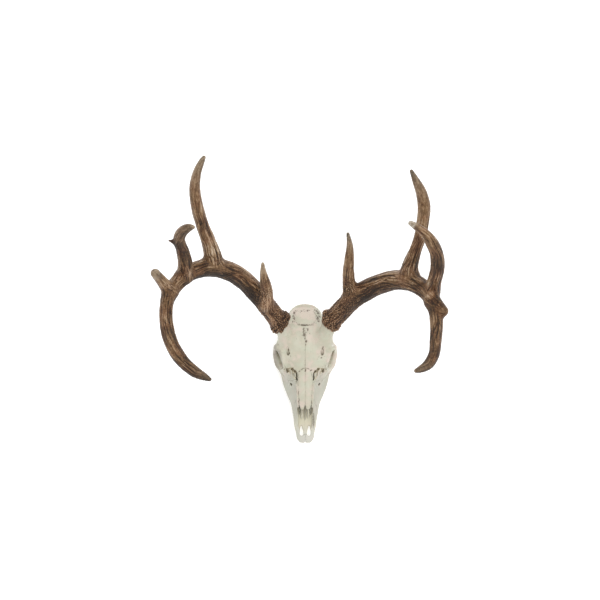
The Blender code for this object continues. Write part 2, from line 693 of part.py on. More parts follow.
def make_skull():
    solid = skull_mass()
    feet = [antler_foot("right"), antler_foot("left")]
    half = GAP / 2
    left = volume("left_half", lambda b: block(b, (half, -20, -20), (150, 330, 200)))
    right = volume("right_half", lambda b: block(b, (-150, -20, -20), (-half, 330, 200)))
    before_maxilla = volume("before_maxilla", lambda b: slanted(b, side_of(PREMAXILLA_BACK, True, half), -150, 150))
    behind_premaxilla = volume("behind_premaxilla", lambda b: slanted(b, side_of(PREMAXILLA_BACK, False, half), -150, 150))
    before_frontal = volume("before_frontal", lambda b: slanted(b, side_of(FACE_BACK, True, half), -150, 150))
    behind_face = volume("behind_face", lambda b: slanted(b, side_of(FACE_BACK, False, half), -150, 150))
    before_braincase = volume("before_braincase", lambda b: slanted(b, side_of(FRONTAL_BACK, True, half), -150, 150))
    behind_frontal = volume("behind_frontal", lambda b: slanted(b, side_of(FRONTAL_BACK, False, half), -150, 150))
    nasal_in = volume("nasal_in", lambda b: nasal_bed(b, 0.0))
    nasal_out = volume("nasal_out", lambda b: nasal_bed(b, GAP))

    def cheek(grow):
        def build(b):
            (x0, y0, z0), (x1, y1, z1) = CHEEK_BOX
            block(b, (x0 - grow, y0 - grow, z0 - grow), (x1, y1 + grow, z1 + grow))
            block(b, (-x1, y0 - grow, z0 - grow), (-x0 + grow, y1 + grow, z1 + grow))
        return build

    cheek_in = volume("cheek_in", cheek(0.0))
    cheek_out = volume("cheek_out", cheek(GAP))
    made = []
    for side, half_space in (("left", left), ("right", right)):
        made.append(part_of(solid, f"premaxilla_{side}", BONE, (half_space, before_maxilla), (nasal_out,)))
        made.append(part_of(solid, f"nasal_{side}", BONE, (half_space, nasal_in)))
        made.append(part_of(solid, f"maxilla_{side}", TOOTH_AND_BONE, (half_space, behind_premaxilla, before_frontal), (nasal_out, cheek_out)))
        made.append(part_of(solid, f"zygomatic_{side}", BONE, (half_space, cheek_in)))
        made.append(part_of(solid, f"frontal_{side}", BONE, (half_space, behind_face, before_braincase), (nasal_out, cheek_out, *feet)))
    made.append(part_of(solid, "braincase", BONE, (behind_frontal,), (cheek_out, *feet)))
    made = [largest_only(ob) for ob in made]
    bpy.data.objects.remove(solid)
    return made


def world_run(rows):
    return [(*on_face(c, r, reach), radius) for c, r, reach, radius in rows]


def ring_profile(bm, run, t, radius, height):
    """The burr: a thick collar round the beam's foot, knobbed on its rim."""
    rows = np.asarray(run, float)
    a, b = spline(rows, t), spline(rows, t + 0.3)
    d = (b - a)[:3]
    d /= np.linalg.norm(d)
    side = np.cross(d, (0.3, 0.2, 0.93))
    side /= np.linalg.norm(side)
    up = np.cross(d, side)
    rings = []
    for w, r in ((-height * 0.55, 0.62), (-height * 0.5, 0.86), (-height * 0.2, 0.99), (height * 0.1, 1.0), (height * 0.45, 0.9), (height * 0.7, 0.72)):
        ring = []
        for k in range(16):
            ang = 2 * math.pi * k / 16
            rr = radius * r * (1 + 0.035 * math.sin(7 * ang + 1.0) + 0.02 * math.sin(11 * ang))
            ring.append(tuple(a[:3] + d * w + rr * (math.cos(ang) * side + math.sin(ang) * up)))
        rings.append(ring)
    rings_to(bm, rings)


def make_antler(side, plan):
    run = world_run(plan["beam"])
    made = []

    def whole_beam(bm, grow):
        rows = [(x, y, z, r + grow) for x, y, z, r in run]
        tube(bm, rows, sides=9, step=20.0)

    beam = volume(f"beam_{side}", lambda b: whole_beam(b, 0.0))
    beam_out = volume(f"beam_out_{side}", lambda b: whole_beam(b, GAP))
    # The beam in lengths between its forks.
    cuts = plan["cuts"]
    names = [f"antler_{side}_beam_{k}" for k in ("foot", "low", "middle", "tip")]
    blocks = []
    for k, name in enumerate(names):
        ob = bpy.data.objects.new(name, beam.data.copy())
        bpy.context.scene.collection.objects.link(ob)
        blocks.append(ob)
    for k, ob in enumerate(blocks):
        for j, t in enumerate(cuts):
            keep = half_block(f"side_{side}_{k}_{j}", run, t, before=k <= j)
            add_boolean(ob, keep, "INTERSECT")
        ob.data.materials.clear()
        ob.data.materials.append(finish(names[k], HORN))
    # Burr: joined to the foot of the beam.
    burr = volume(f"burr_{side}", lambda b: ring_profile(b, run, 0.0, plan["burr"], 13.0))
    add_boolean(blocks[0], burr, "UNION")
    made += blocks
    for name, rows in plan["tines"].items():
        bm = bmesh.new()
        tube(bm, world_run(rows), sides=8, step=19.0)
        ob = new_object(f"antler_{side}_{name}", bm, finish(f"antler_{side}_{name}", HORN))
        if name == "small_point":
            third = volume(f"third_out_{side}", lambda b: tube(b, [(x, y, z, r + GAP) for x, y, z, r in world_run(plan["tines"]["third_tine"])], sides=8, step=19.0))
            add_boolean(ob, third, "DIFFERENCE")
        else:
            add_boolean(ob, beam_out, "DIFFERENCE")
        made.append(ob)
    made = [largest_only(ob) for ob in made]
    bpy.data.objects.remove(beam)
    return made


def half_block(name, run, t, before):
    """A large block on one side of a plane square to the beam, kept local to the beam there."""
    rows = np.asarray(run, float)
    a, b, c = spline(rows, t - 0.05), spline(rows, t), spline(rows, t + 0.05)
    d = (c - a)[:3]
    d /= np.linalg.norm(d)
    side = np.cross(d, (0.3, 0.2, 0.93))
    side /= np.linalg.norm(side)
    up = np.cross(d, side)
    near, far = (-FAR * 2, -GAP / 2) if before else (GAP / 2, FAR * 2)
    bm = bmesh.new()
    rings = [[tuple(b[:3] + d * w + FAR * 2 * (i * side + j * up)) for i, j in ((-1, -1), (1, -1), (1, 1), (-1, 1))] for w in (near, far)]
    rings_to(bm, rings)
    return new_object(name, bm, helper=True)


def main():
    for ob in list(bpy.data.objects):
        bpy.data.objects.remove(ob)
    made = make_skull()
    for side, plan in ANTLERS.items():
        made += make_antler(side, plan)
    root = bpy.data.objects.new("deer_skull", None)
    bpy.context.scene.collection.objects.link(root)
    for ob in made:
        ob.parent = root


main()
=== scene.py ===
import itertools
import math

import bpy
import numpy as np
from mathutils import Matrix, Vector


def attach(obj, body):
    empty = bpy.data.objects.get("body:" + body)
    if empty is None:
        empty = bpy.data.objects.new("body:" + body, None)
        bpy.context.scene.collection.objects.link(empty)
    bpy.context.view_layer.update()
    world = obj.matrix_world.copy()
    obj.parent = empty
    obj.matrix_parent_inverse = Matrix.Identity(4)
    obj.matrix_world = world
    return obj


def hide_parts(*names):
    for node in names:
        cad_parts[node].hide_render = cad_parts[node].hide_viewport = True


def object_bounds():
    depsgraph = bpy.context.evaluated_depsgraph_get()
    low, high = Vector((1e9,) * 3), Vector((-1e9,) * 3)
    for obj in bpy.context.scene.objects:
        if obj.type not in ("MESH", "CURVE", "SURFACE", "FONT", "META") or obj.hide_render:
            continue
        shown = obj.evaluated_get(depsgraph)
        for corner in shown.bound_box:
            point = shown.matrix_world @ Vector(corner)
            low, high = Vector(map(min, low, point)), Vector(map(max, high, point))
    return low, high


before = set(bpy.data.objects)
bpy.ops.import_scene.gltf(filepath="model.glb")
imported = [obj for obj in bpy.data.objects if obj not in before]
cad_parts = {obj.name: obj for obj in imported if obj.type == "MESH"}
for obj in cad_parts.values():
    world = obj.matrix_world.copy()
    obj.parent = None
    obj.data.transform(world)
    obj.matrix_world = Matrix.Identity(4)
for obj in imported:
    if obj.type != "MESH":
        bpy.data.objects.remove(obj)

# The looks of the deer skull: its bone with the sutures, openings and pores, its cheek teeth, and both antlers with
# their ridges, grooves, pearls and burrs. Each is a mesh of its own, made from distance fields that follow the same
# tables as the solids, and stands for them.
#
# The tables are in millimetres, in the skull's own frame: X across, Y counted back from the tip of the premaxilla,
# Z up from the level it lies on. The antlers' stations are on a front view of the face, a square grid of 600 by 600
# units with the row counted downwards, and the reach in millimetres that the point stands out before the forehead.

CAD_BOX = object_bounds()
STEP_SKULL = 0.85
STEP_ANTLER = 0.95
STEP_TEETH = 0.55
F32 = np.float32

# ---------------------------------------------------------------------------------------------------------------
# Tables, as in the solids
# ---------------------------------------------------------------------------------------------------------------

MM = 0.001
FOREHEAD_SLOPE = math.radians(16.0)
VIEW_DISTANCE = 2600.0
UNIT = 2.0
VIEW_MIDDLE = 300.0
MIDLINE_COLUMN = 304.7
AXIS_HEIGHT = 295.7
FOREHEAD_REACH = 53.0
ORIGIN_X = -9.9
ORIGIN_Y = 227.4

BODY = (
    # y,  top,  (half, z) upper, (half, z) widest, (half, z) lower, bottom
    (1.5, 15.5, 4.5, 15.2, 8.0, 13.8, 6.0, 12.2, 12.0),
    (5, 16.5, 7.0, 16.0, 12.5, 14.0, 10.0, 12.0, 11.6),
    (12, 18.5, 10.0, 17.5, 16.8, 14.5, 14.0, 12.0, 11.6),
    (25, 24.0, 12.0, 22.0, 19.0, 17.0, 16.0, 13.0, 12.5),
    (37, 31.0, 14.0, 29.0, 22.0, 20.0, 18.0, 14.0, 13.5),
    (47, 38.0, 15.5, 36.0, 23.2, 24.0, 18.0, 15.5, 14.5),
    (59, 48.0, 16.0, 45.0, 25.2, 29.0, 18.5, 17.0, 15.5),
    (71, 59.0, 15.5, 56.0, 27.2, 32.0, 20.0, 17.5, 16.5),
    (83, 68.0, 15.0, 65.5, 30.2, 35.0, 22.0, 16.5, 17.0),
    (95, 75.5, 15.5, 73.0, 35.3, 37.0, 26.0, 14.5, 17.5),
    (108, 80.5, 17.0, 77.5, 40.3, 40.0, 29.0, 13.0, 18.0),
    (120, 85.0, 20.0, 80.5, 44.3, 43.0, 31.0, 12.5, 18.0),
    (132, 89.5, 27.0, 83.5, 46.3, 47.0, 32.5, 13.0, 18.0),
    (145, 95.0, 38.0, 88.0, 47.5, 55.0, 33.0, 15.0, 18.5),
    (157, 99.5, 46.0, 94.5, 47.0, 68.0, 31.0, 20.0, 22.0),
    (170, 103.5, 49.0, 98.5, 46.0, 80.0, 27.0, 32.0, 30.0),
    (183, 107.0, 49.5, 101.5, 43.0, 80.0, 24.0, 42.0, 37.0),
    (196, 110.0, 46.0, 105.0, 39.0, 80.0, 22.0, 46.0, 39.0),
    (208, 111.5, 40.0, 107.0, 37.5, 77.0, 24.0, 46.0, 38.0),
    (220, 110.5, 33.0, 105.5, 38.0, 74.0, 27.0, 45.0, 36.0),
    (232, 107.0, 29.5, 101.0, 39.0, 71.0, 29.0, 44.0, 35.0),
    (244, 101.5, 28.0, 95.0, 38.5, 68.0, 29.0, 43.0, 34.0),
    (256, 94.8, 26.0, 88.0, 35.0, 63.0, 26.0, 42.0, 33.0),
    (266, 88.0, 22.5, 81.0, 30.0, 58.0, 23.0, 42.0, 33.0),
    (273, 82.0, 17.0, 76.0, 24.0, 56.0, 18.0, 44.0, 36.0),
)

NASALS = (
    (61, 10.0, 63.6),
    (66, 12.0, 65.9),
    (74, 13.2, 69.8),
    (90, 13.2, 77.0),
    (110, 13.6, 83.8),
    (124, 14.6, 88.6),
    (133, 13.2, 92.0),
    (139, 9.5, 93.8),
)

ORBIT_RIM = (
    (42.8, 147, 90.2, 2.5),
    (45.0, 157, 94.4, 2.3),
    (47.6, 167, 97.2, 2.4),
    (52.4, 175, 96.0, 2.7),
    (57.6, 181, 90.4, 2.8),
    (60.2, 184.5, 81.0, 2.8),
    (60.0, 184.0, 71.5, 2.6),
    (58.8, 178, 62.0, 2.2),
    (56.4, 168, 57.5, 2.1),
    (52.6, 157, 56.0, 2.4),
    (48.2, 147, 60.0, 3.0),
    (44.4, 141.5, 70.0, 3.0),
    (42.0, 141.0, 81.0, 2.7),
    (42.8, 147, 90.2, 2.5),
)
POSTORBITAL_FRONT = ((46.0, 175, 99.0, 4.0), (52.6, 180.5, 95.0, 4.0), (57.6, 185.0, 86.0, 3.8), (60.2, 188.0, 74.0, 3.3), (60.0, 189.5, 64.0, 3.1))
POSTORBITAL_BACK = ((44.0, 197, 101.5, 6.2), (49.8, 195.0, 94.5, 4.8), (54.2, 192.0, 86.0, 3.5), (57.6, 190.5, 76.0, 2.9))
CHEEK_BAR = (
    (36.0, 108, 37.0, 2.2),
    (42.0, 127, 41.0, 3.6),
    (46.4, 141, 43.6, 4.2),
    (53.6, 152, 46.0, 4.0),
    (58.8, 165, 48.6, 3.8),
    (61.6, 178, 52.4, 3.5),
    (60.2, 189, 56.6, 3.4),
    (56.0, 198, 58.0, 3.3),
    (52.0, 208, 57.6, 3.3),
    (48.4, 217, 55.6, 3.8),
    (43.4, 225, 53.6, 4.8),
    (36.0, 231, 52.0, 6.0),
)
CHEEK_PLATE = (
    (42.0, 134, 50.0, 3.6),
    (47.5, 146, 51.5, 3.6),
    (53.5, 158, 51.4, 3.6),
    (58.0, 170, 53.0, 3.4),
    (60.4, 181, 57.0, 3.2),
    (58.5, 190, 60.0, 2.8),
    (54.5, 200, 60.8, 2.4),
    (50.8, 209, 60.0, 2.2),
)
CHEEK_MID = (
    (47.6, 146, 55.6, 3.0),
    (53.4, 157, 54.6, 2.7),
    (58.0, 168, 55.4, 2.6),
    (60.6, 178, 58.2, 2.6),
    (60.8, 186, 63.6, 2.6),
)
PEDICLE = ((33.0, 198, 94.0, 19.0), (39.0, 206, 106.0, 16.6), (44.5, 214.5, 119.0, 15.2), (49.6, 222.5, 132.5, 15.4))
PARACONDYLAR = ((27.0, 254, 52.0, 7.2), (27.4, 257, 38.0, 7.0), (27.2, 260, 25.0, 6.0), (26.6, 261.8, 12.0, 4.6), (26.2, 262.4, 2.8, 3.4))
NUCHAL_CREST = ((0.0, 273.8, 82.6, 2.1), (11.0, 273.4, 81.4, 1.9), (20.0, 270.9, 75.6, 1.8), (27.6, 265.8, 65.6, 1.8), (31.6, 258.4, 56.0, 1.9), (34.0, 248.0, 52.0, 2.0), (37.5, 238.0, 54.0, 2.1))
POSTGLENOID = ((40.0, 230, 50.0, 4.4), (38.6, 232, 43.0, 2.6))
MEATUS = ((24.0, 235.5, 45.0, 6.5), (31.0, 237.5, 47.0, 5.4), (37.6, 239.5, 50.0, 4.4))
SKULL_FLOOR = ((0.0, 190, 47.5, 6.0), (0.0, 206, 42.5, 7.0), (0.0, 222, 38.5, 8.6), (0.0, 240, 37.0, 9.6), (0.0, 262, 36.5, 11.0))

CONDYLE = ((14.0, 273.6, 38.5), (9.2, 9.4, 12.0))
CONDYLE_LOW = ((9.0, 268.0, 31.0), (7.5, 9.0, 6.0))
BULLA = ((21.5, 229.0, 33.5), (6.2, 11.0, 8.2))
GLENOID = ((43.0, 223.0, 52.4), (10.5, 8.6, 4.6))
MASTOID = ((29.5, 255.0, 54.0), (5.0, 7.0, 12.0))
ORBIT_FLOOR = ((50.0, 169.0, 54.0), (13.6, 24.5, 3.4))

SOCKET = ((60.0, 164.5, 75.6), (40.0, 20.6, 18.6))
SOCKET_FLOOR = ((47.0, 181.0, 61.0), (26.0, 19.0, 21.0))
TEMPORAL = ((54.0, 197.0, 76.0), (22.0, 16.5, 21.0))
TEAR_PIT = ((47.0, 133.0, 75.0), (9.5, 11.0, 8.0))

PALATE_SLOT = ((7.2, 21.8), (8.0, 35.0), 3.8)

TEETH = (
    (97.0, 25.0, 10.5, 9.5),
    (108.0, 27.2, 11.5, 11.5),
    (119.5, 28.8, 11.5, 13.0),
    (132.5, 30.0, 14.5, 14.5),
    (147.5, 30.0, 15.5, 15.0),
    (163.0, 28.4, 15.5, 14.0),
)

ANTLERS = {
    "right": {
        "beam": (
            (279.0, 321.0, 16, 18.5),
            (268.8, 308.0, 32, 18.5),
            (256.8, 293.5, 50, 18.6),
            (244.0, 280.3, 72, 18.4),
            (228.8, 270.7, 96, 18.4),
            (212.0, 266.6, 120, 17.8),
            (195.0, 269.8, 144, 16.0),
            (179.6, 279.0, 168, 15.0),
            (168.4, 294.4, 192, 13.6),
            (165.3, 311.0, 216, 12.2),
            (166.4, 328.0, 238, 12.1),
            (172.1, 346.1, 260, 12.1),
            (182.1, 360.8, 278, 11.6),
            (194.2, 371.0, 292, 10.0),
            (203.4, 376.0, 300, 7.0),
            (209.0, 378.8, 304, 3.6),
        ),
        "burr": (25.4, 6.4, -2.5, (-0.747, 0.504, 0.436)),
        "tines": {
            "brow_tine": (
                (266.0, 303.0, 52, 14.0),
                (266.4, 291.5, 72, 11.4),
                (264.6, 280.5, 90, 9.4),
                (262.8, 271.5, 104, 6.2),
                (262.2, 263.2, 114, 3.1),
            ),
            "second_tine": (
                (212.6, 263.0, 118, 20.5),
                (211.8, 254.0, 136, 16.8),
                (207.6, 240.0, 156, 13.4),
                (201.4, 224.0, 178, 12.2),
                (196.5, 206.0, 200, 11.5),
                (194.1, 188.0, 220, 10.2),
                (196.2, 173.0, 236, 8.0),
                (200.6, 162.0, 248, 5.8),
                (203.4, 156.8, 253, 3.5),
            ),
            "third_tine": (
                (184.4, 274.0, 168, 16.0),
                (184.8, 263.5, 190, 13.4),
                (182.0, 250.3, 214, 11.6),
                (178.4, 239.5, 238, 10.8),
                (181.2, 231.8, 258, 10.0),
                (187.2, 227.4, 272, 7.8),
                (192.6, 226.6, 280, 3.6),
            ),
            "fourth_tine": (
                (169.4, 290.4, 192, 13.6),
                (163.6, 283.4, 212, 11.2),
                (157.0, 275.6, 234, 9.2),
                (154.7, 272.8, 244, 8.6),
            ),
            "small_point": (
                (178.2, 242.6, 232, 6.0),
                (173.8, 241.4, 236, 4.6),
                (168.4, 240.0, 240, 1.4),
            ),
        },
    },
    "left": {
        "beam": (
            (331.0, 320.0, 16, 19.5),
            (341.2, 309.6, 32, 19.8),
            (351.2, 299.4, 50, 19.8),
            (363.8, 290.6, 70, 19.8),
            (378.8, 283.9, 92, 18.8),
            (394.0, 279.8, 114, 18.8),
            (408.5, 280.6, 138, 18.0),
            (421.5, 287.0, 162, 16.2),
            (430.6, 297.2, 186, 14.2),
            (435.2, 311.0, 208, 12.6),
            (436.0, 326.0, 230, 11.2),
            (435.0, 341.0, 252, 10.7),
            (433.6, 353.6, 270, 10.3),
            (428.4, 363.1, 284, 9.5),
            (421.4, 367.9, 293, 7.0),
            (415.6, 370.3, 297, 4.0),
        ),
        "burr": (24.8, 6.2, -0.5, (0.730, 0.500, 0.466)),
        "tines": {
            "brow_tine": (
                (350.4, 298.0, 54, 16.0),
                (349.0, 284.5, 74, 13.4),
                (347.9, 271.0, 94, 11.2),
                (348.9, 257.0, 114, 9.0),
                (349.2, 244.5, 130, 6.2),
                (347.4, 233.4, 143, 3.1),
            ),
            "second_tine": (
                (408.6, 275.5, 136, 19.6),
                (409.4, 265.8, 150, 15.6),
                (414.7, 250.4, 166, 11.6),
                (419.4, 236.5, 180, 11.4),
                (422.2, 221.0, 194, 12.0),
                (423.5, 206.0, 208, 11.8),
                (420.9, 192.6, 220, 10.3),
                (416.0, 181.5, 232, 7.4),
                (410.9, 170.6, 241, 3.4),
            ),
            "third_tine": (
                (431.4, 290.5, 180, 16.0),
                (434.2, 279.5, 202, 13.2),
                (437.0, 266.5, 226, 13.0),
                (436.2, 253.6, 248, 12.6),
                (431.6, 242.8, 266, 11.6),
                (425.4, 234.0, 278, 9.0),
                (417.4, 227.2, 287, 7.0),
                (410.1, 222.6, 293, 4.6),
            ),
            "fourth_tine": (
                (431.5, 300.5, 196, 14.0),
                (437.6, 306.4, 211, 12.8),
                (442.6, 310.6, 223, 9.8),
            ),
        },
    },
}

# How pale or dark each branch is beside the others, and the patches on them: column, row, reach, radius in
# millimetres, and how much paler.
TONES = {
    "right": {"beam": 0.08, "brow_tine": 0.34, "second_tine": 0.20, "third_tine": 0.06, "fourth_tine": 0.14, "small_point": -0.45},
    "left": {"beam": -0.02, "brow_tine": 0.16, "second_tine": 0.06, "third_tine": 0.02, "fourth_tine": 0.02},
}
# The very end of each branch beside its own colour: whitish above 0, dark and greyish below.
ENDS = {
    "right": {"beam": -0.30, "brow_tine": -0.10, "second_tine": -0.50, "third_tine": 0.05, "fourth_tine": 0.10},
    "left": {"beam": -0.25, "brow_tine": -0.75, "second_tine": -0.65, "third_tine": 0.70},
}
PATCHES = {
    "right": (
        (205.0, 221.0, 186, 24.0, -0.30),
        (211.0, 249.0, 160, 20.0, 0.30),
        (211.0, 261.0, 142, 16.0, 0.22),
        (252.0, 288.0, 62, 26.0, 0.22),
        (155.0, 280.0, 246, 12.0, 0.34),
        (169.0, 340.0, 268, 34.0, 0.10),
    ),
    "left": (
        (429.5, 294.0, 204, 13.0, 0.50),
        (444.0, 309.0, 224, 18.0, -0.28),
        (347.5, 265.0, 104, 34.0, 0.30),
        (425.0, 213.0, 214, 30.0, 0.12),
        (400.0, 276.0, 142, 30.0, 0.14),
        (438.0, 262.0, 236, 30.0, -0.10),
    ),
}

SCREEN_X = MIDLINE_COLUMN - VIEW_MIDDLE


def on_face(column, row, reach):
    """The skull point seen at a place of the face view's grid, at that reach in front of the forehead."""
    size = UNIT * (VIEW_DISTANCE - reach) / VIEW_DISTANCE
    x = (column - VIEW_MIDDLE) * size - SCREEN_X * UNIT
    up = AXIS_HEIGHT - (row - VIEW_MIDDLE) * size
    out = FOREHEAD_REACH + reach
    c, s = math.cos(FOREHEAD_SLOPE), math.sin(FOREHEAD_SLOPE)
    return (x, up * c - out * s, up * s + out * c)


def spline(rows, t):
    """A smooth curve through the rows (Catmull-Rom), at t counted in rows."""
    rows = np.asarray(rows, float)
    i = min(int(t), len(rows) - 2)
    f = t - i
    p0, p1, p2, p3 = (rows[min(max(i + k, 0), len(rows) - 1)] for k in (-1, 0, 1, 2))
    m1, m2 = (p2 - p0) / 2, (p3 - p1) / 2
    return (2 * f**3 - 3 * f**2 + 1) * p1 + (f**3 - 2 * f**2 + f) * m1 + (3 * f**2 - 2 * f**3) * p2 + (f**3 - f**2) * m2


def dense(rows, parts=3):
    n = (len(rows) - 1) * parts
    return np.array([spline(rows, k / parts) for k in range(n + 1)])


# ---------------------------------------------------------------------------------------------------------------
# Noise. All of it comes from whole-number hashes, so every run gives the same.
# ---------------------------------------------------------------------------------------------------------------

def hashed(ix, iy, iz, seed):
    h = ix.astype(np.uint32) * np.uint32(374761393)
    h ^= iy.astype(np.uint32) * np.uint32(668265263)
    h += iz.astype(np.uint32) * np.uint32(2246822519)
    h += np.uint32((seed * 3266489917) % 4294967296)
    h ^= h >> np.uint32(15)
    h *= np.uint32(2246822519)
    h ^= h >> np.uint32(13)
    h *= np.uint32(3266489917)
    h ^= h >> np.uint32(16)
    return h.astype(F32) / F32(4294967295.0)


LEANS = np.array([v for v in itertools.product((-1, 0, 1), repeat=3) if sum(map(abs, v)) == 2], F32)


def noise(p, seed=0):
    """Smooth noise, about -1 to 1, at points already divided by the wanted size. A random slope at each corner."""
    base = np.floor(p)
    f = (p - base).astype(F32)
    g = f * f * f * (f * (f * 6 - 15) + 10)
    i = base.astype(np.int64)
    total = np.zeros(len(p), F32)
    for dx, dy, dz in itertools.product((0, 1), repeat=3):
        w = (g[:, 0] if dx else 1 - g[:, 0]) * (g[:, 1] if dy else 1 - g[:, 1]) * (g[:, 2] if dz else 1 - g[:, 2])
        pick = (hashed(i[:, 0] + dx, i[:, 1] + dy, i[:, 2] + dz, seed) * F32(11.999)).astype(np.int32)
        lean = LEANS[pick]
        total += w * (lean[:, 0] * (f[:, 0] - dx) + lean[:, 1] * (f[:, 1] - dy) + lean[:, 2] * (f[:, 2] - dz))
    return total * F32(1.35)


def fractal(p, seed=0, octaves=3):
    total, size, most = 0, 1.0, 0.0
    for k in range(octaves):
        total = total + size * noise(p * (2.03**k), seed + 17 * k)
        most += size
        size *= 0.5
    return total / most


def cells(p, seed=0):
    """Distance to the nearest and the second nearest of scattered points, and a number that belongs to the nearest."""
    base = np.floor(p).astype(np.int64)
    first = np.full(len(p), 9.0, F32)
    second = np.full(len(p), 9.0, F32)
    own = np.zeros(len(p), F32)
    for off in itertools.product((-1, 0, 1), repeat=3):
        c = base + np.array(off)
        jitter = np.stack([hashed(c[:, 0], c[:, 1], c[:, 2], seed + k) for k in (1, 2, 3)], 1)
        d = np.linalg.norm(c + jitter - p, axis=1).astype(F32)
        nearer = d < first
        second = np.where(nearer, first, np.minimum(second, d))
        own = np.where(nearer, jitter[:, 0], own)
        first = np.where(nearer, d, first)
    return first, second, own


# ---------------------------------------------------------------------------------------------------------------
# Distance fields: negative inside. Points are an array of millimetres.
# ---------------------------------------------------------------------------------------------------------------

REACH = 13.0  # how far round a shape its field is worked out


def smin(a, b, k):
    h = np.clip(0.5 + 0.5 * (b - a) / k, 0, 1)
    return b * (1 - h) + a * h - k * h * (1 - h)


def smax(a, b, k):
    return -smin(-a, -b, k)


def ramp(x, low, high):
    t = np.clip((x - low) / (high - low), 0, 1)
    return t * t * (3 - 2 * t)


class Tube:
    """A bar of changing thickness through a run of (x, y, z, radius)."""

    def __init__(self, rows, parts=3, flat=None):
        self.rows = dense(rows, parts).astype(F32)
        r = self.rows[:, 3].max()
        self.low, self.high = self.rows[:, :3].min(0) - r, self.rows[:, :3].max(0) + r

    def __call__(self, p):
        best = np.full(len(p), 1e3, F32)
        rows = self.rows
        for k in range(0, len(rows) - 1, 3):
            group = rows[k : k + 4]
            r = group[:, 3].max() + REACH + 2
            lo, hi = group[:, :3].min(0) - r, group[:, :3].max(0) + r
            near = np.flatnonzero(((p > lo) & (p < hi)).all(1))
            if not len(near):
                continue
            q = p[near]
            b = best[near]
            for s, e in zip(group, group[1:]):
                v = e[:3] - s[:3]
                t = np.clip((q - s[:3]) @ v / max(float(v @ v), 1e-9), 0, 1)
                d = q - s[:3] - t[:, None] * v
                np.minimum(b, np.sqrt(np.einsum("ij,ij->i", d, d)) - (s[3] + t * (e[3] - s[3])), out=b)
            best[near] = b
        return best


class Ball:
    def __init__(self, centre, sizes):
        self.centre, self.sizes = np.array(centre, F32), np.array(sizes, F32)
        self.low, self.high = self.centre - self.sizes, self.centre + self.sizes

    def __call__(self, p):
        q = (p - self.centre) / self.sizes
        k0 = np.sqrt((q * q).sum(1))
        k1 = np.sqrt(((q / self.sizes) ** 2).sum(1)) + 1e-6
        return k0 * (k0 - 1) / k1


class Custom:
    def __init__(self, low, high, function):
        self.low, self.high, self.function = np.array(low, F32), np.array(high, F32), function

    def __call__(self, p):
        return self.function(p)


def near_shape(p, shape):
    low, high = shape.low - REACH, shape.high + REACH
    return np.flatnonzero(((p > low) & (p < high)).all(1))


def add(f, p, shape, k=3.0):
    i = near_shape(p, shape)
    if len(i):
        f[i] = smin(f[i], shape(p[i]), k)


def cut(f, p, shape, k=2.0):
    i = near_shape(p, shape)
    if len(i):
        f[i] = smax(f[i], -shape(p[i]), k)


def prism_x(corners, half, soft=1.0):
    """A block across the skull whose outline in y and z is a convex or simple polygon."""
    pts = np.array(corners, F32)
    low = (-half, pts[:, 0].min(), pts[:, 1].min())
    high = (half, pts[:, 0].max(), pts[:, 1].max())

    def f(p):
        return smax(polygon(p[:, 1], p[:, 2], pts), np.abs(p[:, 0]) - half, soft)

    return Custom(low, high, f)


def polygon(u, v, pts):
    """Signed distance to a simple polygon."""
    best = np.full(len(u), 1e9, F32)
    inside = np.zeros(len(u), bool)
    for (x0, y0), (x1, y1) in zip(pts, np.roll(pts, -1, 0)):
        ex, ey = x1 - x0, y1 - y0
        wx, wy = u - x0, v - y0
        t = np.clip((wx * ex + wy * ey) / (ex * ex + ey * ey), 0, 1)
        best = np.minimum(best, (wx - t * ex) ** 2 + (wy - t * ey) ** 2)
        crosses = ((y0 > v) != (y1 > v)) & (u < ex * (v - y0) / (ey if ey else 1e-9) + x0)
        inside ^= crosses
    d = np.sqrt(best)
    return np.where(inside, -d, d)


def polyline(u, v, points):
    """Distance to an open run of straight pieces."""
    best = np.full(len(u), 1e9, F32)
    for (x0, y0), (x1, y1) in zip(points, points[1:]):
        ex, ey = x1 - x0, y1 - y0
        t = np.clip(((u - x0) * ex + (v - y0) * ey) / (ex * ex + ey * ey), 0, 1)
        best = np.minimum(best, np.hypot(u - x0 - t * ex, v - y0 - t * ey))
    return best


# The body of the skull as a table of radii round each section's middle.
BODY_Y0, BODY_Y1, BODY_STEP, ANGLES = 1.5, 273.0, 1.0, 97


def body_table():
    ys = np.arange(BODY_Y0, BODY_Y1 + 1e-6, BODY_STEP)
    marks = np.array([row[0] for row in BODY], float)
    table = np.zeros((len(ys), ANGLES))
    middles = np.zeros(len(ys))
    angles = np.linspace(0, math.pi, ANGLES)
    for n, y in enumerate(ys):
        t = np.interp(y, marks, np.arange(len(marks)))
        _, top, a1, z1, a2, z2, a3, z3, bottom = spline(BODY, t)
        half = [(0, top), (a1, z1), (a2, z2), (a3, z3), (0, bottom)]
        chain = [(-a1, z1)] + half + [(-a3, z3)]
        pts = np.array([spline(chain[i : i + 4], 1 + k / 12) for i in range(4) for k in range(12)] + [(0, bottom)])
        middle = (top + bottom) / 2
        phi = np.arctan2(np.maximum(pts[:, 0], 0), pts[:, 1] - middle)
        rho = np.hypot(pts[:, 0], pts[:, 1] - middle)
        order = np.argsort(phi)
        table[n] = np.interp(angles, phi[order], rho[order])
        middles[n] = middle
    for _ in range(3):  # evens out the steps between the rows
        table[1:-1] = (table[:-2] + 2 * table[1:-1] + table[2:]) / 4
        middles[1:-1] = (middles[:-2] + 2 * middles[1:-1] + middles[2:]) / 4
    along = np.gradient(table, BODY_STEP, axis=0)
    round_ = np.gradient(table, angles, axis=1) / table
    slope = 1 / np.sqrt(1 + along**2 + round_**2)
    return ys, middles.astype(F32), table.astype(F32), slope.astype(F32)


BODY_YS, BODY_MIDDLES, BODY_RADII, BODY_SLOPES = body_table()


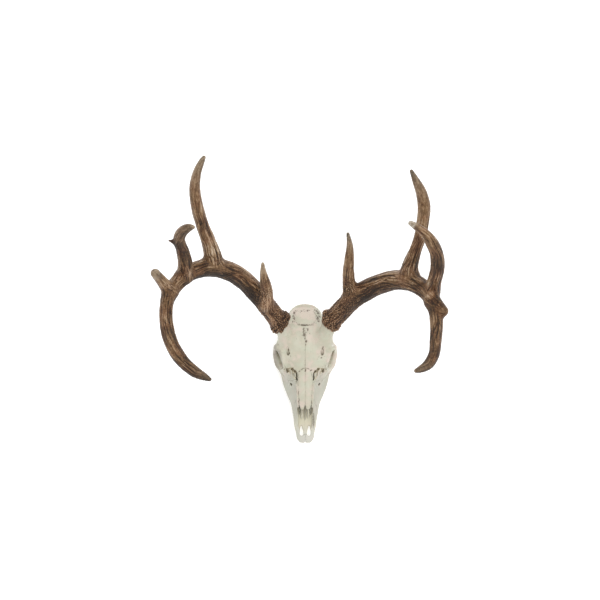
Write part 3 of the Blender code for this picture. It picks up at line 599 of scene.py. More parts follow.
def body(p):
    x, y, z = np.abs(p[:, 0]), p[:, 1], p[:, 2]
    u = np.clip((y - BODY_Y0) / BODY_STEP, 0, len(BODY_YS) - 1.001)
    i = u.astype(np.int32)
    fu = (u - i).astype(F32)
    middle = BODY_MIDDLES[i] * (1 - fu) + BODY_MIDDLES[i + 1] * fu
    w = np.arctan2(x, z - middle) / math.pi * (ANGLES - 1)
    j = np.clip(w.astype(np.int32), 0, ANGLES - 2)
    fw = (w - j).astype(F32)

    def look(t):
        return (t[i, j] * (1 - fu) + t[i + 1, j] * fu) * (1 - fw) + (t[i, j + 1] * (1 - fu) + t[i + 1, j + 1] * fu) * fw

    rho = np.hypot(x, z - middle)
    f = (rho - look(BODY_RADII)) * look(BODY_SLOPES)
    f = smax(f, 3.1 - y, 1.5)
    return smax(f, y - BODY_Y1, 7.0).astype(F32)


def table_of(rows, column):
    marks = [r[0] for r in rows]
    return lambda y: np.interp(y, marks, [r[column] for r in rows]).astype(F32)


nasal_half, nasal_crown = table_of(NASALS, 1), table_of(NASALS, 2)
body_top = table_of(BODY, 1)
upper_half = table_of(BODY, 2)
body_bottom = table_of(BODY, 8)
widest_z = table_of(BODY, 5)
widest_half = table_of(BODY, 4)
cavity_floor = table_of(((18, 17.4), (30, 19.0), (38, 21.8), (47, 27.0), (55, 31.6), (60, 34.6), (74, 43.0), (90, 49.0), (108, 54.0), (122, 58.0)), 1)
wall = table_of(((20, 2.0), (40, 2.0), (70, 2.4), (100, 3.0), (125, 5.0)), 1)


def nasals(p):
    """The pair of nasal bones: a low arch, split at its tip, 2.4 mm thick."""
    x, y, z = np.abs(p[:, 0]), p[:, 1], p[:, 2]
    half = nasal_half(y)
    crown = nasal_crown(y)
    s = np.clip(x / np.maximum(half, 1), 0, 1.3)
    drop = 0.8 * s**2 + 1.5 * s**5 + 0.45 * np.exp(-((x / 1.5) ** 2))  # with the shallow furrow of the midline
    surface = crown - drop
    deep = 2.3 + 4.2 * ramp(y, 70, 80) + 1.6 * ramp(s, 0.6, 1.0)
    f = np.maximum(z - surface, surface - deep - z) * 0.86
    f = smax(f, (x - half), 0.8)
    f = smax(f, y - 139.0, 1.0)
    # Each tip ends in a point, with a notch between the two and a longer one at each side.
    tip = 61.5 + 6.0 * np.exp(-((x / 1.9) ** 2)) + 0.45 * np.abs(x - 5.4) + 7.0 * ramp(x, 8.6, 12.6)
    return smax(f, (tip - y), 0.7)


NASAL_SHAPE = Custom((-17, 58, 55), (17, 141, 98), nasals)


def nose_hollow(p):
    """The nasal cavity: the body drawn in by the walls, over its floor, and open on top before the nasal bones."""
    x, y, z = np.abs(p[:, 0]), p[:, 1], p[:, 2]
    inner = body(p) + wall(y)
    floor = cavity_floor(y) + 1.6 * np.exp(-(((x - 12) / 4) ** 2)) - 0.0
    f = smax(inner, floor - z, 1.6)
    f = smax(f, 21.0 - y, 1.5)
    return smax(f, y - 122.0, 4.0)


NOSE = Custom((-40, 20, 14), (40, 124, 88), nose_hollow)


def nose_mouth(p):
    """What is open above the nasal cavity, from the premaxilla's tip plate back to the nasal bones."""
    x, y, z = np.abs(p[:, 0]), p[:, 1], p[:, 2]
    side = upper_half(y) - 1.0 + 0.9 * np.sin(y * 0.21)
    f = smax(x - side, cavity_floor(y) - z, 1.6)
    back = 72.5 - 3.0 * ramp(x, 9, 15)
    f = smax(f, y - back, 1.5)
    return smax(f, 18.5 + 0.05 * x * x - y, 2.0)


MOUTH = Custom((-18, 16, 14), (18, 73, 80), nose_mouth)


def flattened(tube, middle, share):
    """A bar made thinner across the skull, about a plane at that x."""
    def f(p):
        q = p.copy()
        q[:, 0] = middle + (q[:, 0] - middle) * share
        return tube(q) * 0.85

    return Custom(tube.low, tube.high, f)


def palate_slots(p):
    x, y, z = np.abs(p[:, 0]), p[:, 1], p[:, 2]
    (x0, ya), (x1, yb), half = PALATE_SLOT
    t = np.clip((y - ya) / (yb - ya), 0, 1)
    cx = x0 + t * (x1 - x0)
    # Blunt in front and drawn out to a point behind.
    w = half * (1 - 0.52 * t**1.6)
    return np.hypot(x - cx, (y - (ya + t * (yb - ya))) * 0.72) - w


SLOTS = Custom((-14, 12, 0), (14, 47, 30), palate_slots)


def premaxilla_tip(p):
    """Parts the two tips with a notch and hollows each a little."""
    x, y, z = np.abs(p[:, 0]), p[:, 1], p[:, 2]
    cleft = np.maximum(x - 0.42 - 0.5 * np.exp(-np.maximum(y, 0) / 5.0), y - 16.5)
    return np.minimum(np.hypot(x, (y - 0.0) * 0.50) - 2.2, cleft)


TIP_NOTCH = Custom((-4, -8, 0), (4, 18, 30), premaxilla_tip)


GAP_ARC = ((37.6, 137.0), (36.6, 140.6), (31.5, 142.6), (25.5, 141.6), (19.8, 138.0), (16.4, 132.0), (15.6, 125.0), (17.0, 118.0))
GAP = ((15.2, 119.0), (15.6, 131.0), (19.4, 138.0), (25.5, 141.8), (31.5, 142.6), (37.4, 141.0), (37.0, 134.0), (33.0, 125.0), (27.0, 116.0), (21.0, 112.0), (17.0, 113.0))


def vacuity(p):
    """The gap before the orbit where the lacrimal, nasal, frontal and maxilla don't meet, with thin bone inside it."""
    x, y, z = np.abs(p[:, 0]), p[:, 1], p[:, 2]
    q = np.stack([x, y, 0 * x], 1)
    u, v = x + 1.1 * noise(q / 4.0, 91), y + 1.1 * noise(q / 4.0, 92)
    edge = polygon(u, v, np.array(GAP, F32))
    arc = polyline(u, v, GAP_ARC)
    face = body_top(y) - 6.0 * (x / 27.0) ** 2.2
    # It is deepest under its rear and inner edges. The scrolls of thin bone within come up towards the face.
    scroll = 0.5 + 0.5 * np.sin((x - 16.0 - 0.22 * (y - 130.0)) * 1.05 + 0.8 * noise(q / 6.0, 93))
    open_ = ramp(noise(q / 7.0, 94), -0.55, 0.25)
    depth = (2.5 + 8.5 * open_) * np.exp(-((arc / (1.2 + 2.0 * open_)) ** 2)) + (1.2 + 3.6 * scroll) * ramp(-edge, 0.0, 5.0) * ramp(y + 0.35 * x, 124.0, 136.0)
    return smax(edge, (face - depth - z) * 0.7, 1.2)


VACUITY = Custom((10, 108, 50), (46, 147, 110), vacuity)


def choana(p):
    """The rear nostrils, on both sides of a thin vomer."""
    x, y, z = np.abs(p[:, 0]), p[:, 1], p[:, 2]
    pts = np.array(((170.0, 6.0), (214.0, 6.0), (214.0, 36.0), (190.0, 40.0), (176.0, 37.0), (169.0, 28.0)), F32)
    f = smax(polygon(y, z, pts), x - 9.6, 2.0)
    keel = smax(np.maximum(x - 0.9, 31.0 - z - 0.25 * (y - 176)), y - 205.0, 1.0)
    return smax(f, -keel, 0.6)


CHOANA = Custom((-11, 165, 4), (11, 216, 41), choana)


def pterygoids(p):
    """The thin upright plates behind the palate, each ending in a hook."""
    x, y, z = np.abs(p[:, 0]), p[:, 1], p[:, 2]
    pts = np.array(((156.0, 17.0), (172.0, 15.5), (184.0, 16.5), (193.0, 20.5), (199.5, 20.5), (200.5, 23.5), (199.0, 30.0), (206.0, 40.0), (208.0, 50.0), (150.0, 50.0)), F32)
    middle = 10.6 + 0.05 * (y - 170) + 0.06 * (z - 20)
    return smax(polygon(y, z, pts), np.abs(x - middle) - 1.5 - 0.06 * np.maximum(z - 20, 0), 1.2)


PTERYGOIDS = Custom((5, 148, 14), (18, 210, 52), pterygoids)


def palate_vault(p):
    """The roof of the mouth, hollowed between the tooth rows."""
    x, y, z = np.abs(p[:, 0]), p[:, 1], p[:, 2]
    width = np.interp(y, (60, 90, 120, 170), (9, 14, 18, 17)).astype(F32)
    vault = np.interp(y, (50, 80, 120, 160, 172), (16.0, 19.0, 21.5, 21.0, 19.0)).astype(F32)
    roof = vault - 6.0 * (x / width) ** 2
    return smax((z - roof) * 0.8, np.maximum(52.0 - y, y - 177.0), 4.0)


VAULT = Custom((-22, 48, -6), (22, 180, 24), palate_vault)


def alveolar(p):
    """The bone round the tooth roots, with a swelling over each."""
    x, y, z = np.abs(p[:, 0]), p[:, 1], p[:, 2]
    cx = np.interp(y, [t[0] for t in TEETH], [t[1] for t in TEETH]).astype(F32)
    half = np.interp(y, [t[0] for t in TEETH], [t[3] / 2 for t in TEETH]).astype(F32) + 1.0
    wave = 0.0
    arch = 0.0
    for ty, _, length, _ in TEETH:
        for s in ((-0.25, 0.25) if length > 12 else (0.0,)):
            wave = wave + 0.9 * np.exp(-(((y - ty - s * length) / 2.2) ** 2))
        arch = np.maximum(arch, 1 - ((y - ty) / (length * 0.52)) ** 2)
    # Its lower edge arches over each tooth, and rises and thins before the first and behind the last.
    edge = 11.4 + 2.0 * arch + 9.0 * ramp(97.0 - y, 2.0, 12.0) + 10.0 * ramp(y, 166.0, 178.0)
    narrow = 3.5 * ramp(96.0 - y, 0.0, 10.0) + 4.0 * ramp(y, 167.0, 178.0) + 0.10 * (z - 12.0)
    f = smax(np.abs(x - cx) - half - wave * (x > cx) + narrow, edge - z, 2.2)
    f = smax(f, z - 27.0, 4.0)
    return smax(f, np.maximum(87.0 - y, y - 177.0), 5.0)


ALVEOLAR = Custom((14, 84, 8), (46, 180, 30), alveolar)


def turbinates(p):
    """The scrolls of thin bone inside the nose."""
    x, y, z = np.abs(p[:, 0]), p[:, 1], p[:, 2]
    out = np.full(len(p), 1e3, F32)
    for x0, z0, rise, turns, start in ((7.2, 40.4, 0.62, 5.4, 48.0), (6.4, 57.0, 0.40, 3.2, 76.0)):
        cz = z0 + rise * (y - 60)
        r = np.hypot(x - x0, z - cz)
        a = np.arctan2(z - cz, x - x0)
        grow = ramp(y, start, start + 14)
        curl = np.abs(((r - 0.62 * a + 40) % 3.9) - 1.95) - 0.55
        f = smax(curl, r - turns * (0.5 + 0.5 * grow), 0.5)
        out = np.minimum(out, smax(f, start - y, 1.5))
    return out


TURBINATES = Custom((0, 44, 26), (14, 124, 76), turbinates)

# The vomer on the nose's floor, and the inner bars of the premaxilla between its two slots.
VOMER = Tube(((0, 15, 13.4, 1.5), (0, 38, 20.5, 1.6), (0, 50, 28.0, 1.5), (0, 62, 34.5, 1.4), (0, 108, 54.0, 2.0)))
SEPTUM = Custom((-1.5, 40, 18), (1.5, 124, 80), lambda p: np.maximum(np.maximum(np.abs(p[:, 0]) - 0.75, 48.0 - p[:, 1] + 0.5 * (p[:, 2] - 30.0)), p[:, 2] - (34.0 + 0.62 * (p[:, 1] - 50.0))))
TIP_BARS = Tube(((3.0, 15, 14.0, 1.7), (3.6, 30, 15.6, 1.6), (3.8, 47, 18.0, 1.6)))

SKULL_ADDS = (
    (Tube(ORBIT_RIM), 5.0),
    (Ball(*ORBIT_FLOOR), 5.0),
    (Tube(POSTORBITAL_FRONT), 4.0),
    (Tube(POSTORBITAL_BACK), 6.0),
    (Tube(CHEEK_BAR), 4.0),
    (Tube(CHEEK_PLATE), 3.5),
    (Tube(CHEEK_MID), 6.0),
    (Tube(PEDICLE), 9.0),
    (flattened(Tube(PARACONDYLAR), 26.8, 1.55), 4.0),
    (Tube(NUCHAL_CREST), 5.5),
    (Tube(POSTGLENOID), 3.0),
    (Tube(MEATUS), 3.0),
    (Tube(SKULL_FLOOR), 5.0),
    (Ball(*CONDYLE), 3.5),
    (Ball(*CONDYLE_LOW), 4.0),
    (Ball(*BULLA), 2.5),
    (Ball(*GLENOID), 3.5),
    (Ball(*MASTOID), 4.0),
    (PTERYGOIDS, 2.5),
    (ALVEOLAR, 2.5),
    # The basal tubercles and the crest along the middle of the nape.
    (Tube(((6.5, 236, 27.5, 3.6), (6.0, 246, 27.0, 3.2))), 3.0),
    (Tube(((0.0, 274.0, 80.0, 2.6), (0.0, 274.6, 70.0, 2.4), (0.0, 273.0, 62.0, 2.0))), 3.0),
    # The ridge at the upper edge of the temporal hollow, from the pedicle back to the nape.
    (Tube(((36.0, 214, 103.0, 4.0), (33.5, 228, 98.0, 2.6), (32.0, 242, 90.0, 2.0), (30.5, 256, 78.0, 2.0))), 4.0),
    # The upper edges of the face bones, level with the nasal bones between them.
    (Tube(((14.0, 68, 59.0, 1.8), (14.4, 74, 63.4, 2.6), (15.0, 83, 68.4, 3.2), (15.6, 95, 73.6, 3.6), (16.4, 108, 78.4, 3.6), (17.6, 120, 82.4, 3.6), (19.5, 130, 85.4, 3.0))), 4.0),
    # The bump of the cheek over the third premolar, and the ridge that runs up from it.
    (Ball((38.6, 118.0, 31.5), (3.0, 9.0, 5.0)), 3.0),
)

OPENINGS = (
    # The infraorbital opening runs back and inwards, and a shallow furrow leads out of it.
    (Tube(((31.6, 102, 73.0, 1.4), (30.4, 107, 70.6, 2.1), (28.6, 112, 66.4, 2.5), (25.5, 119, 60.0, 2.3), (23.0, 127, 56.0, 2.0))), 0.8),
    (Tube(((33.6, 91, 66.0, 0.8), (32.4, 98, 70.4, 1.2), (31.2, 104, 72.4, 1.5))), 1.8),
    # The opening above the orbit, in the furrow that runs forwards from it.
    (Tube(((35.8, 182, 108.0, 1.2), (35.2, 177, 105.0, 2.5), (34.4, 171, 101.6, 2.9), (33.8, 166, 97.0, 2.7), (33.0, 161, 91.0, 2.1))), 0.8),
    (Tube(((33.4, 166, 102.8, 1.4), (32.2, 159, 100.8, 1.2), (30.6, 149, 97.4, 0.7))), 1.4),
    # The tear duct's groove, from the orbit's front edge down the face.
    (Tube(((42.0, 141.5, 84.0, 1.2), (39.8, 136, 82.4, 1.9), (38.6, 128, 79.6, 2.1), (37.6, 119, 74.4, 1.6), (36.6, 110, 68.6, 0.8))), 1.2),
    # The ear's passage, the opening of the nerve to the eye, and the one under the orbit.
    (Tube(((39.5, 240.2, 51.0, 2.9), (31.0, 237.5, 47.4, 2.5), (25.0, 236, 45.0, 2.0))), 0.8),
    (Tube(((26.0, 178, 66.0, 2.9), (16.0, 187, 63.0, 2.5), (8.0, 193, 61.0, 2.0))), 1.0),
    (Tube(((28.0, 194, 54.0, 2.7), (18.0, 203, 52.0, 2.4))), 1.0),
    (Tube(((26.0, 166, 40.0, 3.0), (21.0, 158, 34.0, 2.6), (17.0, 150, 30.0, 2.2))), 1.0),
    # On the palate and under the skull.
    (Tube(((9.0, 152.5, 17.0, 1.9), (9.0, 149, 24.0, 1.5))), 0.8),
    (Tube(((16.6, 214, 33.0, 2.4), (16.0, 216, 42.0, 2.2))), 1.0),
    (Tube(((15.0, 243, 30.0, 2.4), (17.0, 244, 42.0, 2.6))), 1.2),
    (Tube(((10.2, 262, 31.0, 1.3), (11.0, 257, 38.0, 1.3))), 0.8),
    # The openings low on the back of the skull, in the furrow inside each paracondylar process.
    (Tube(((21.8, 273, 50.0, 3.2), (21.6, 268, 45.0, 3.0))), 3.0),
    (Ball((33.0, 262.0, 49.0), (3.0, 4.0, 2.0)), 1.0),
    # The lacrimal openings on the rim.
    (Ball((46.4, 143.8, 78.5), (3.0, 2.4, 1.7)), 0.6),
    (Ball((46.6, 144.6, 71.5), (3.0, 2.4, 1.7)), 0.6),
    (Tube(((0.0, 294.0, 43.0, 11.4), (0.0, 275.0, 45.0, 10.6), (0.0, 250.0, 52.0, 9.6))), 2.0),
)

HOLLOWS = (
    (Ball(*SOCKET), 2.5),
    (Ball(*SOCKET_FLOOR), 4.0),
    (Ball(*TEMPORAL), 4.0),
    (Ball(*TEAR_PIT), 3.0),
    # The temporal hollow runs back over the braincase, and the face dips in before the cheek.
    (Ball((48.0, 226.0, 84.0), (12.5, 20.0, 17.0)), 5.0),
    (Ball((52.0, 112.0, 58.0), (13.5, 20.0, 13.0)), 9.0),
)


def skull_field(p):
    p = np.abs(p * np.array((1, 0, 0), F32)) + p * np.array((0, 1, 1), F32)
    f = body(p)
    for shape, k in HOLLOWS:
        cut(f, p, shape, k)
    cut(f, p, VAULT, 2.5)
    cut(f, p, NOSE, 1.2)
    cut(f, p, MOUTH, 1.0)
    for shape, k in SKULL_ADDS:
        add(f, p, shape, k)
    add(f, p, NASAL_SHAPE, 0.8)
    add(f, p, TURBINATES, 0.4)
    add(f, p, VOMER, 1.5)
    add(f, p, SEPTUM, 0.6)
    add(f, p, TIP_BARS, 1.4)
    cut(f, p, SLOTS, 1.0)
    cut(f, p, TIP_NOTCH, 1.6)
    cut(f, p, VACUITY, 1.0)
    cut(f, p, CHOANA, 1.2)
    for shape, k in OPENINGS:
        cut(f, p, shape, k)
    return smax(f, 0.02 - p[:, 2], 0.5)


# ---------------------------------------------------------------------------------------------------------------
# From fields to meshes
# ---------------------------------------------------------------------------------------------------------------

def in_chunks(function, p, size=400000):
    return np.concatenate([function(p[i : i + size]) for i in range(0, len(p), size)]) if len(p) else np.zeros(0, F32)


def sampled(field, low, high, step, coarse=4):
    """The field on a grid: exact near the surface, and only its sign further off."""
    low, high = np.array(low, F32), np.array(high, F32)
    block = step * coarse
    n = np.ceil((high - low) / block).astype(int)
    axes = [low[k] + block * np.arange(n[k] + 1, dtype=F32) for k in range(3)]
    grid = np.stack(np.meshgrid(*axes, indexing="ij"), -1).reshape(-1, 3)
    rough = in_chunks(field, grid).reshape(n + 1)
    near = np.ones(n, bool)
    lowest = np.full(n, 1e9, F32)
    positive = np.zeros(n, np.int8)
    for i, j, k in itertools.product((0, 1), repeat=3):
        v = rough[i : n[0] + i, j : n[1] + j, k : n[2] + k]
        lowest = np.minimum(lowest, np.abs(v))
        positive += v > 0
    near = (lowest < block * 1.05) | ((positive > 0) & (positive < 8))
    m = n * coarse + 1
    fine = np.where(np.repeat(np.repeat(np.repeat(positive >= 4, coarse, 0), coarse, 1), coarse, 2), F32(1e3), F32(-1e3))
    fine = np.pad(fine, ((0, 1), (0, 1), (0, 1)), mode="edge")
    todo = np.zeros(m, bool)
    cells_ = np.argwhere(near)
    span = np.arange(coarse + 1)
    for i, j, k in itertools.product(span, repeat=3):
        todo[cells_[:, 0] * coarse + i, cells_[:, 1] * coarse + j, cells_[:, 2] * coarse + k] = True
    at = np.argwhere(todo)
    fine[todo] = in_chunks(field, (low + step * at).astype(F32))
    return fine, low, rough, block


def surface(fine, low, step):
    """Quads round the zero level: one vertex in each cell that it crosses, at the mean of its crossings."""
    inside = fine < 0
    n = np.array(fine.shape) - 1
    count = np.zeros(n, np.int8)
    for i, j, k in itertools.product((0, 1), repeat=3):
        count += inside[i : n[0] + i, j : n[1] + j, k : n[2] + k]
    mixed = (count > 0) & (count < 8)
    cell = np.argwhere(mixed)
    number = np.full(n, -1, np.int32)
    number[mixed] = np.arange(len(cell), dtype=np.int32)
    total, hits = np.zeros((len(cell), 3)), np.zeros(len(cell))
    for axis in range(3):
        others = [a for a in range(3) if a != axis]
        for s, t in itertools.product((0, 1), repeat=2):
            a = cell.copy()
            a[:, others[0]] += s
            a[:, others[1]] += t
            b = a.copy()
            b[:, axis] += 1
            fa = fine[a[:, 0], a[:, 1], a[:, 2]].astype(float)
            fb = fine[b[:, 0], b[:, 1], b[:, 2]].astype(float)
            m = (fa < 0) != (fb < 0)
            w = np.where(m, fa / np.where(m, fa - fb, 1), 0)
            point = a.astype(float)
            point[:, axis] += w
            total[m] += point[m]
            hits += m
    verts = low + step * (total / hits[:, None])
    quads = []
    for axis in range(3):
        o1, o2 = [a for a in range(3) if a != axis]
        core = [slice(0, None)] * 3
        core[axis] = slice(0, -1)
        core2 = list(core)
        core2[axis] = slice(1, None)
        change = inside[tuple(core)] != inside[tuple(core2)]
        e = np.argwhere(change)
        e = e[(e[:, o1] > 0) & (e[:, o2] > 0) & (e[:, o1] < fine.shape[o1] - 1) & (e[:, o2] < fine.shape[o2] - 1)]
        c = []
        for s, t in ((0, 0), (1, 0), (1, 1), (0, 1)):
            q = e.copy()
            q[:, o1] -= s
            q[:, o2] -= t
            c.append(number[q[:, 0], q[:, 1], q[:, 2]])
        quad = np.stack(c, 1)
        flip = inside[e[:, 0], e[:, 1], e[:, 2]]
        if axis == 1:
            flip = ~flip
        quad[flip] = quad[flip][:, ::-1]
        quads.append(quad)
    quads = np.concatenate(quads)
    return verts, quads[(quads >= 0).all(1)][:, ::-1]


def whole_only(verts, quads, least=0.02):
    """Drops crumbs: pieces with less than that share of the largest piece's vertices."""
    label = np.arange(len(verts))
    edges = np.concatenate([quads[:, [k, (k + 1) % 4]] for k in range(4)])
    while True:
        low = np.minimum(label[edges[:, 0]], label[edges[:, 1]])
        before = label.copy()
        np.minimum.at(label, edges[:, 0], low)
        np.minimum.at(label, edges[:, 1], low)
        while True:
            jumped = label[label]
            if (jumped == label).all():
                break
            label = jumped
        if (label == before).all():
            break
    sizes = np.bincount(label, minlength=len(verts))
    keep = sizes[label] >= least * sizes.max()
    renumber = np.cumsum(keep) - 1
    quads = quads[keep[quads[:, 0]]]
    return verts[keep], renumber[quads]


def normals_of(verts, quads):
    a, b, c, d = (verts[quads[:, k]] for k in range(4))
    n = np.cross(c - a, d - b)
    out = np.zeros_like(verts)
    for k in range(4):
        for axis in range(3):
            out[:, axis] += np.bincount(quads[:, k], n[:, axis], len(verts))
    return out / (np.linalg.norm(out, axis=1)[:, None] + 1e-12)


def evened(verts, quads, rounds=1, share=0.5):
    """Moves each vertex part of the way to the middle of its neighbours, along the surface and not off it."""
    for _ in range(rounds):
        total, hits = np.zeros_like(verts), np.zeros(len(verts))
        for k in range(4):
            a, b = quads[:, k], quads[:, (k + 1) % 4]
            for axis in range(3):
                total[:, axis] += np.bincount(a, verts[b, axis], len(verts)) + np.bincount(b, verts[a, axis], len(verts))
            hits += np.bincount(a, minlength=len(verts)) + np.bincount(b, minlength=len(verts))
        verts = verts + share * (total / hits[:, None] - verts)
    return verts


def onto(field, verts, h=0.4, limit=1.0):
    """One step that puts the vertices on the field's zero level."""
    p = verts.astype(F32)
    f = in_chunks(field, p)
    g = np.zeros_like(verts)
    for axis in range(3):
        q = p.copy()
        q[:, axis] += h
        g[:, axis] = (in_chunks(field, q) - f) / h
    size = (g * g).sum(1)
    move = -f[:, None] * g / np.maximum(size, 0.2)[:, None]
    length = np.linalg.norm(move, axis=1)
    return verts + move * np.minimum(1, limit / np.maximum(length, 1e-9))[:, None]


def looked_up(grid, low, block, p):
    """The rough grid's value at points, by straight interpolation."""
    u = np.clip((p - low) / block, 0, np.array(grid.shape) - 1.001)
    i = u.astype(int)
    f = u - i
    out = 0.0
    for a, b, c in itertools.product((0, 1), repeat=3):
        w = (f[:, 0] if a else 1 - f[:, 0]) * (f[:, 1] if b else 1 - f[:, 1]) * (f[:, 2] if c else 1 - f[:, 2])
        out = out + w * grid[i[:, 0] + a, i[:, 1] + b, i[:, 2] + c]
    return out


def shelter(field, verts, normals, reaches):
    """How much a place lies in a hollow, at each reach: 0 on open ground and 1 deep inside."""
    out = []
    for h in reaches:
        f = in_chunks(field, (verts + normals * h).astype(F32))
        out.append(np.clip(1 - f / h, 0, 1))
    return out


def make_object(name, verts, quads, attributes, material):
    """A mesh object in the model's frame, from skull millimetres."""
    # The relief stands up to 0.3 mm past the solids at the outermost points, and is held to their box there.
    co = np.clip((verts - np.array((ORIGIN_X, ORIGIN_Y, 0.0))) * MM, np.array(CAD_BOX[0], float) + 2e-6, np.array(CAD_BOX[1], float) - 2e-6)
    me = bpy.data.meshes.new(name)
    me.vertices.add(len(co))
    me.vertices.foreach_set("co", co.astype(F32).ravel())
    me.loops.add(len(quads) * 4)
    me.loops.foreach_set("vertex_index", quads.astype(np.int32).ravel())
    me.polygons.add(len(quads))
    me.polygons.foreach_set("loop_start", np.arange(0, len(quads) * 4, 4, dtype=np.int32))
    me.update(calc_edges=True)
    me.validate()
    me.shade_smooth()
    for key, values in attributes.items():
        values = np.asarray(values, F32)
        kind = "FLOAT_VECTOR" if values.ndim == 2 else "FLOAT"
        layer = me.attributes.new(key, kind, "POINT")
        layer.data.foreach_set("vector" if values.ndim == 2 else "value", values.ravel())
    ob = bpy.data.objects.new(name, me)
    bpy.context.scene.collection.objects.link(ob)
    me.materials.append(material)
    return ob


# ---------------------------------------------------------------------------------------------------------------
# Node trees
# ---------------------------------------------------------------------------------------------------------------

class Nodes:
    """Short names for the nodes of one procedural material."""

    def __init__(self, name):
        self.material = bpy.data.materials.new(name)
        self.material.use_nodes = True
        self.tree = self.material.node_tree
        self.shader = self.tree.nodes["Principled BSDF"]

    def node(self, kind, **settings):
        n = self.tree.nodes.new(kind)
        for key, value in settings.items():
            setattr(n, key, value)
        return n

    def put(self, socket, value):
        if isinstance(value, bpy.types.NodeSocket):
            self.tree.links.new(value, socket)
        elif hasattr(value, "__len__") and len(value) == 3 and len(getattr(socket, "default_value", (0,) * 3)) == 4:
            socket.default_value = (*value, 1.0)
        else:
            socket.default_value = value

    def math(self, operation, a, b=0.0, c=0.0, clamp=False):
        n = self.node("ShaderNodeMath", operation=operation, use_clamp=clamp)
        for socket, value in zip(n.inputs, (a, b, c)):
            self.put(socket, value)
        return n.outputs[0]

    def attribute(self, name, vector=False):
        n = self.node("ShaderNodeAttribute", attribute_name=name)
        return n.outputs["Vector" if vector else "Fac"]

    def place(self, vector, scale):
        n = self.node("ShaderNodeVectorMath", operation="MULTIPLY")
        self.put(n.inputs[0], vector)
        n.inputs[1].default_value = scale
        return n.outputs[0]

    def noise(self, vector, scale, detail=3.0, roughness=0.55, distortion=0.0):
        n = self.node("ShaderNodeTexNoise")
        self.put(n.inputs["Vector"], vector)
        for key, value in (("Scale", scale), ("Detail", detail), ("Roughness", roughness), ("Distortion", distortion)):
            self.put(n.inputs[key], value)
        return n.outputs[0]

    def voronoi(self, vector, scale, feature="F1"):
        n = self.node("ShaderNodeTexVoronoi", feature=feature)
        self.put(n.inputs["Vector"], vector)
        self.put(n.inputs["Scale"], scale)
        return n.outputs["Distance"]

    def fade(self, value, low, high, out_low=0.0, out_high=1.0):
        n = self.node("ShaderNodeMapRange", interpolation_type="SMOOTHSTEP")
        for key, v in (("Value", value), ("From Min", low), ("From Max", high), ("To Min", out_low), ("To Max", out_high)):
            self.put(n.inputs[key], v)
        return n.outputs[0]

    def mix(self, share, a, b, blend="MIX"):
        n = self.node("ShaderNodeMix", data_type="RGBA", blend_type=blend)
        self.put(n.inputs[0], share)
        self.put(n.inputs[6], a)
        self.put(n.inputs[7], b)
        return n.outputs[2]

    def ramp(self, value, stops):
        n = self.node("ShaderNodeValToRGB")
        self.put(n.inputs[0], value)
        ramp_ = n.color_ramp
        while len(ramp_.elements) < len(stops):
            ramp_.elements.new(0.5)
        for element, (at, colour) in zip(ramp_.elements, stops):
            element.position = at
            element.color = (*colour, 1.0)
        return n.outputs[0]

    def bump(self, height, distance, strength=1.0, normal=None):
        n = self.node("ShaderNodeBump")
        self.put(n.inputs["Height"], height)
        n.inputs["Distance"].default_value = distance
        n.inputs["Strength"].default_value = strength
        if normal is not None:
            self.put(n.inputs["Normal"], normal)
        return n.outputs[0]


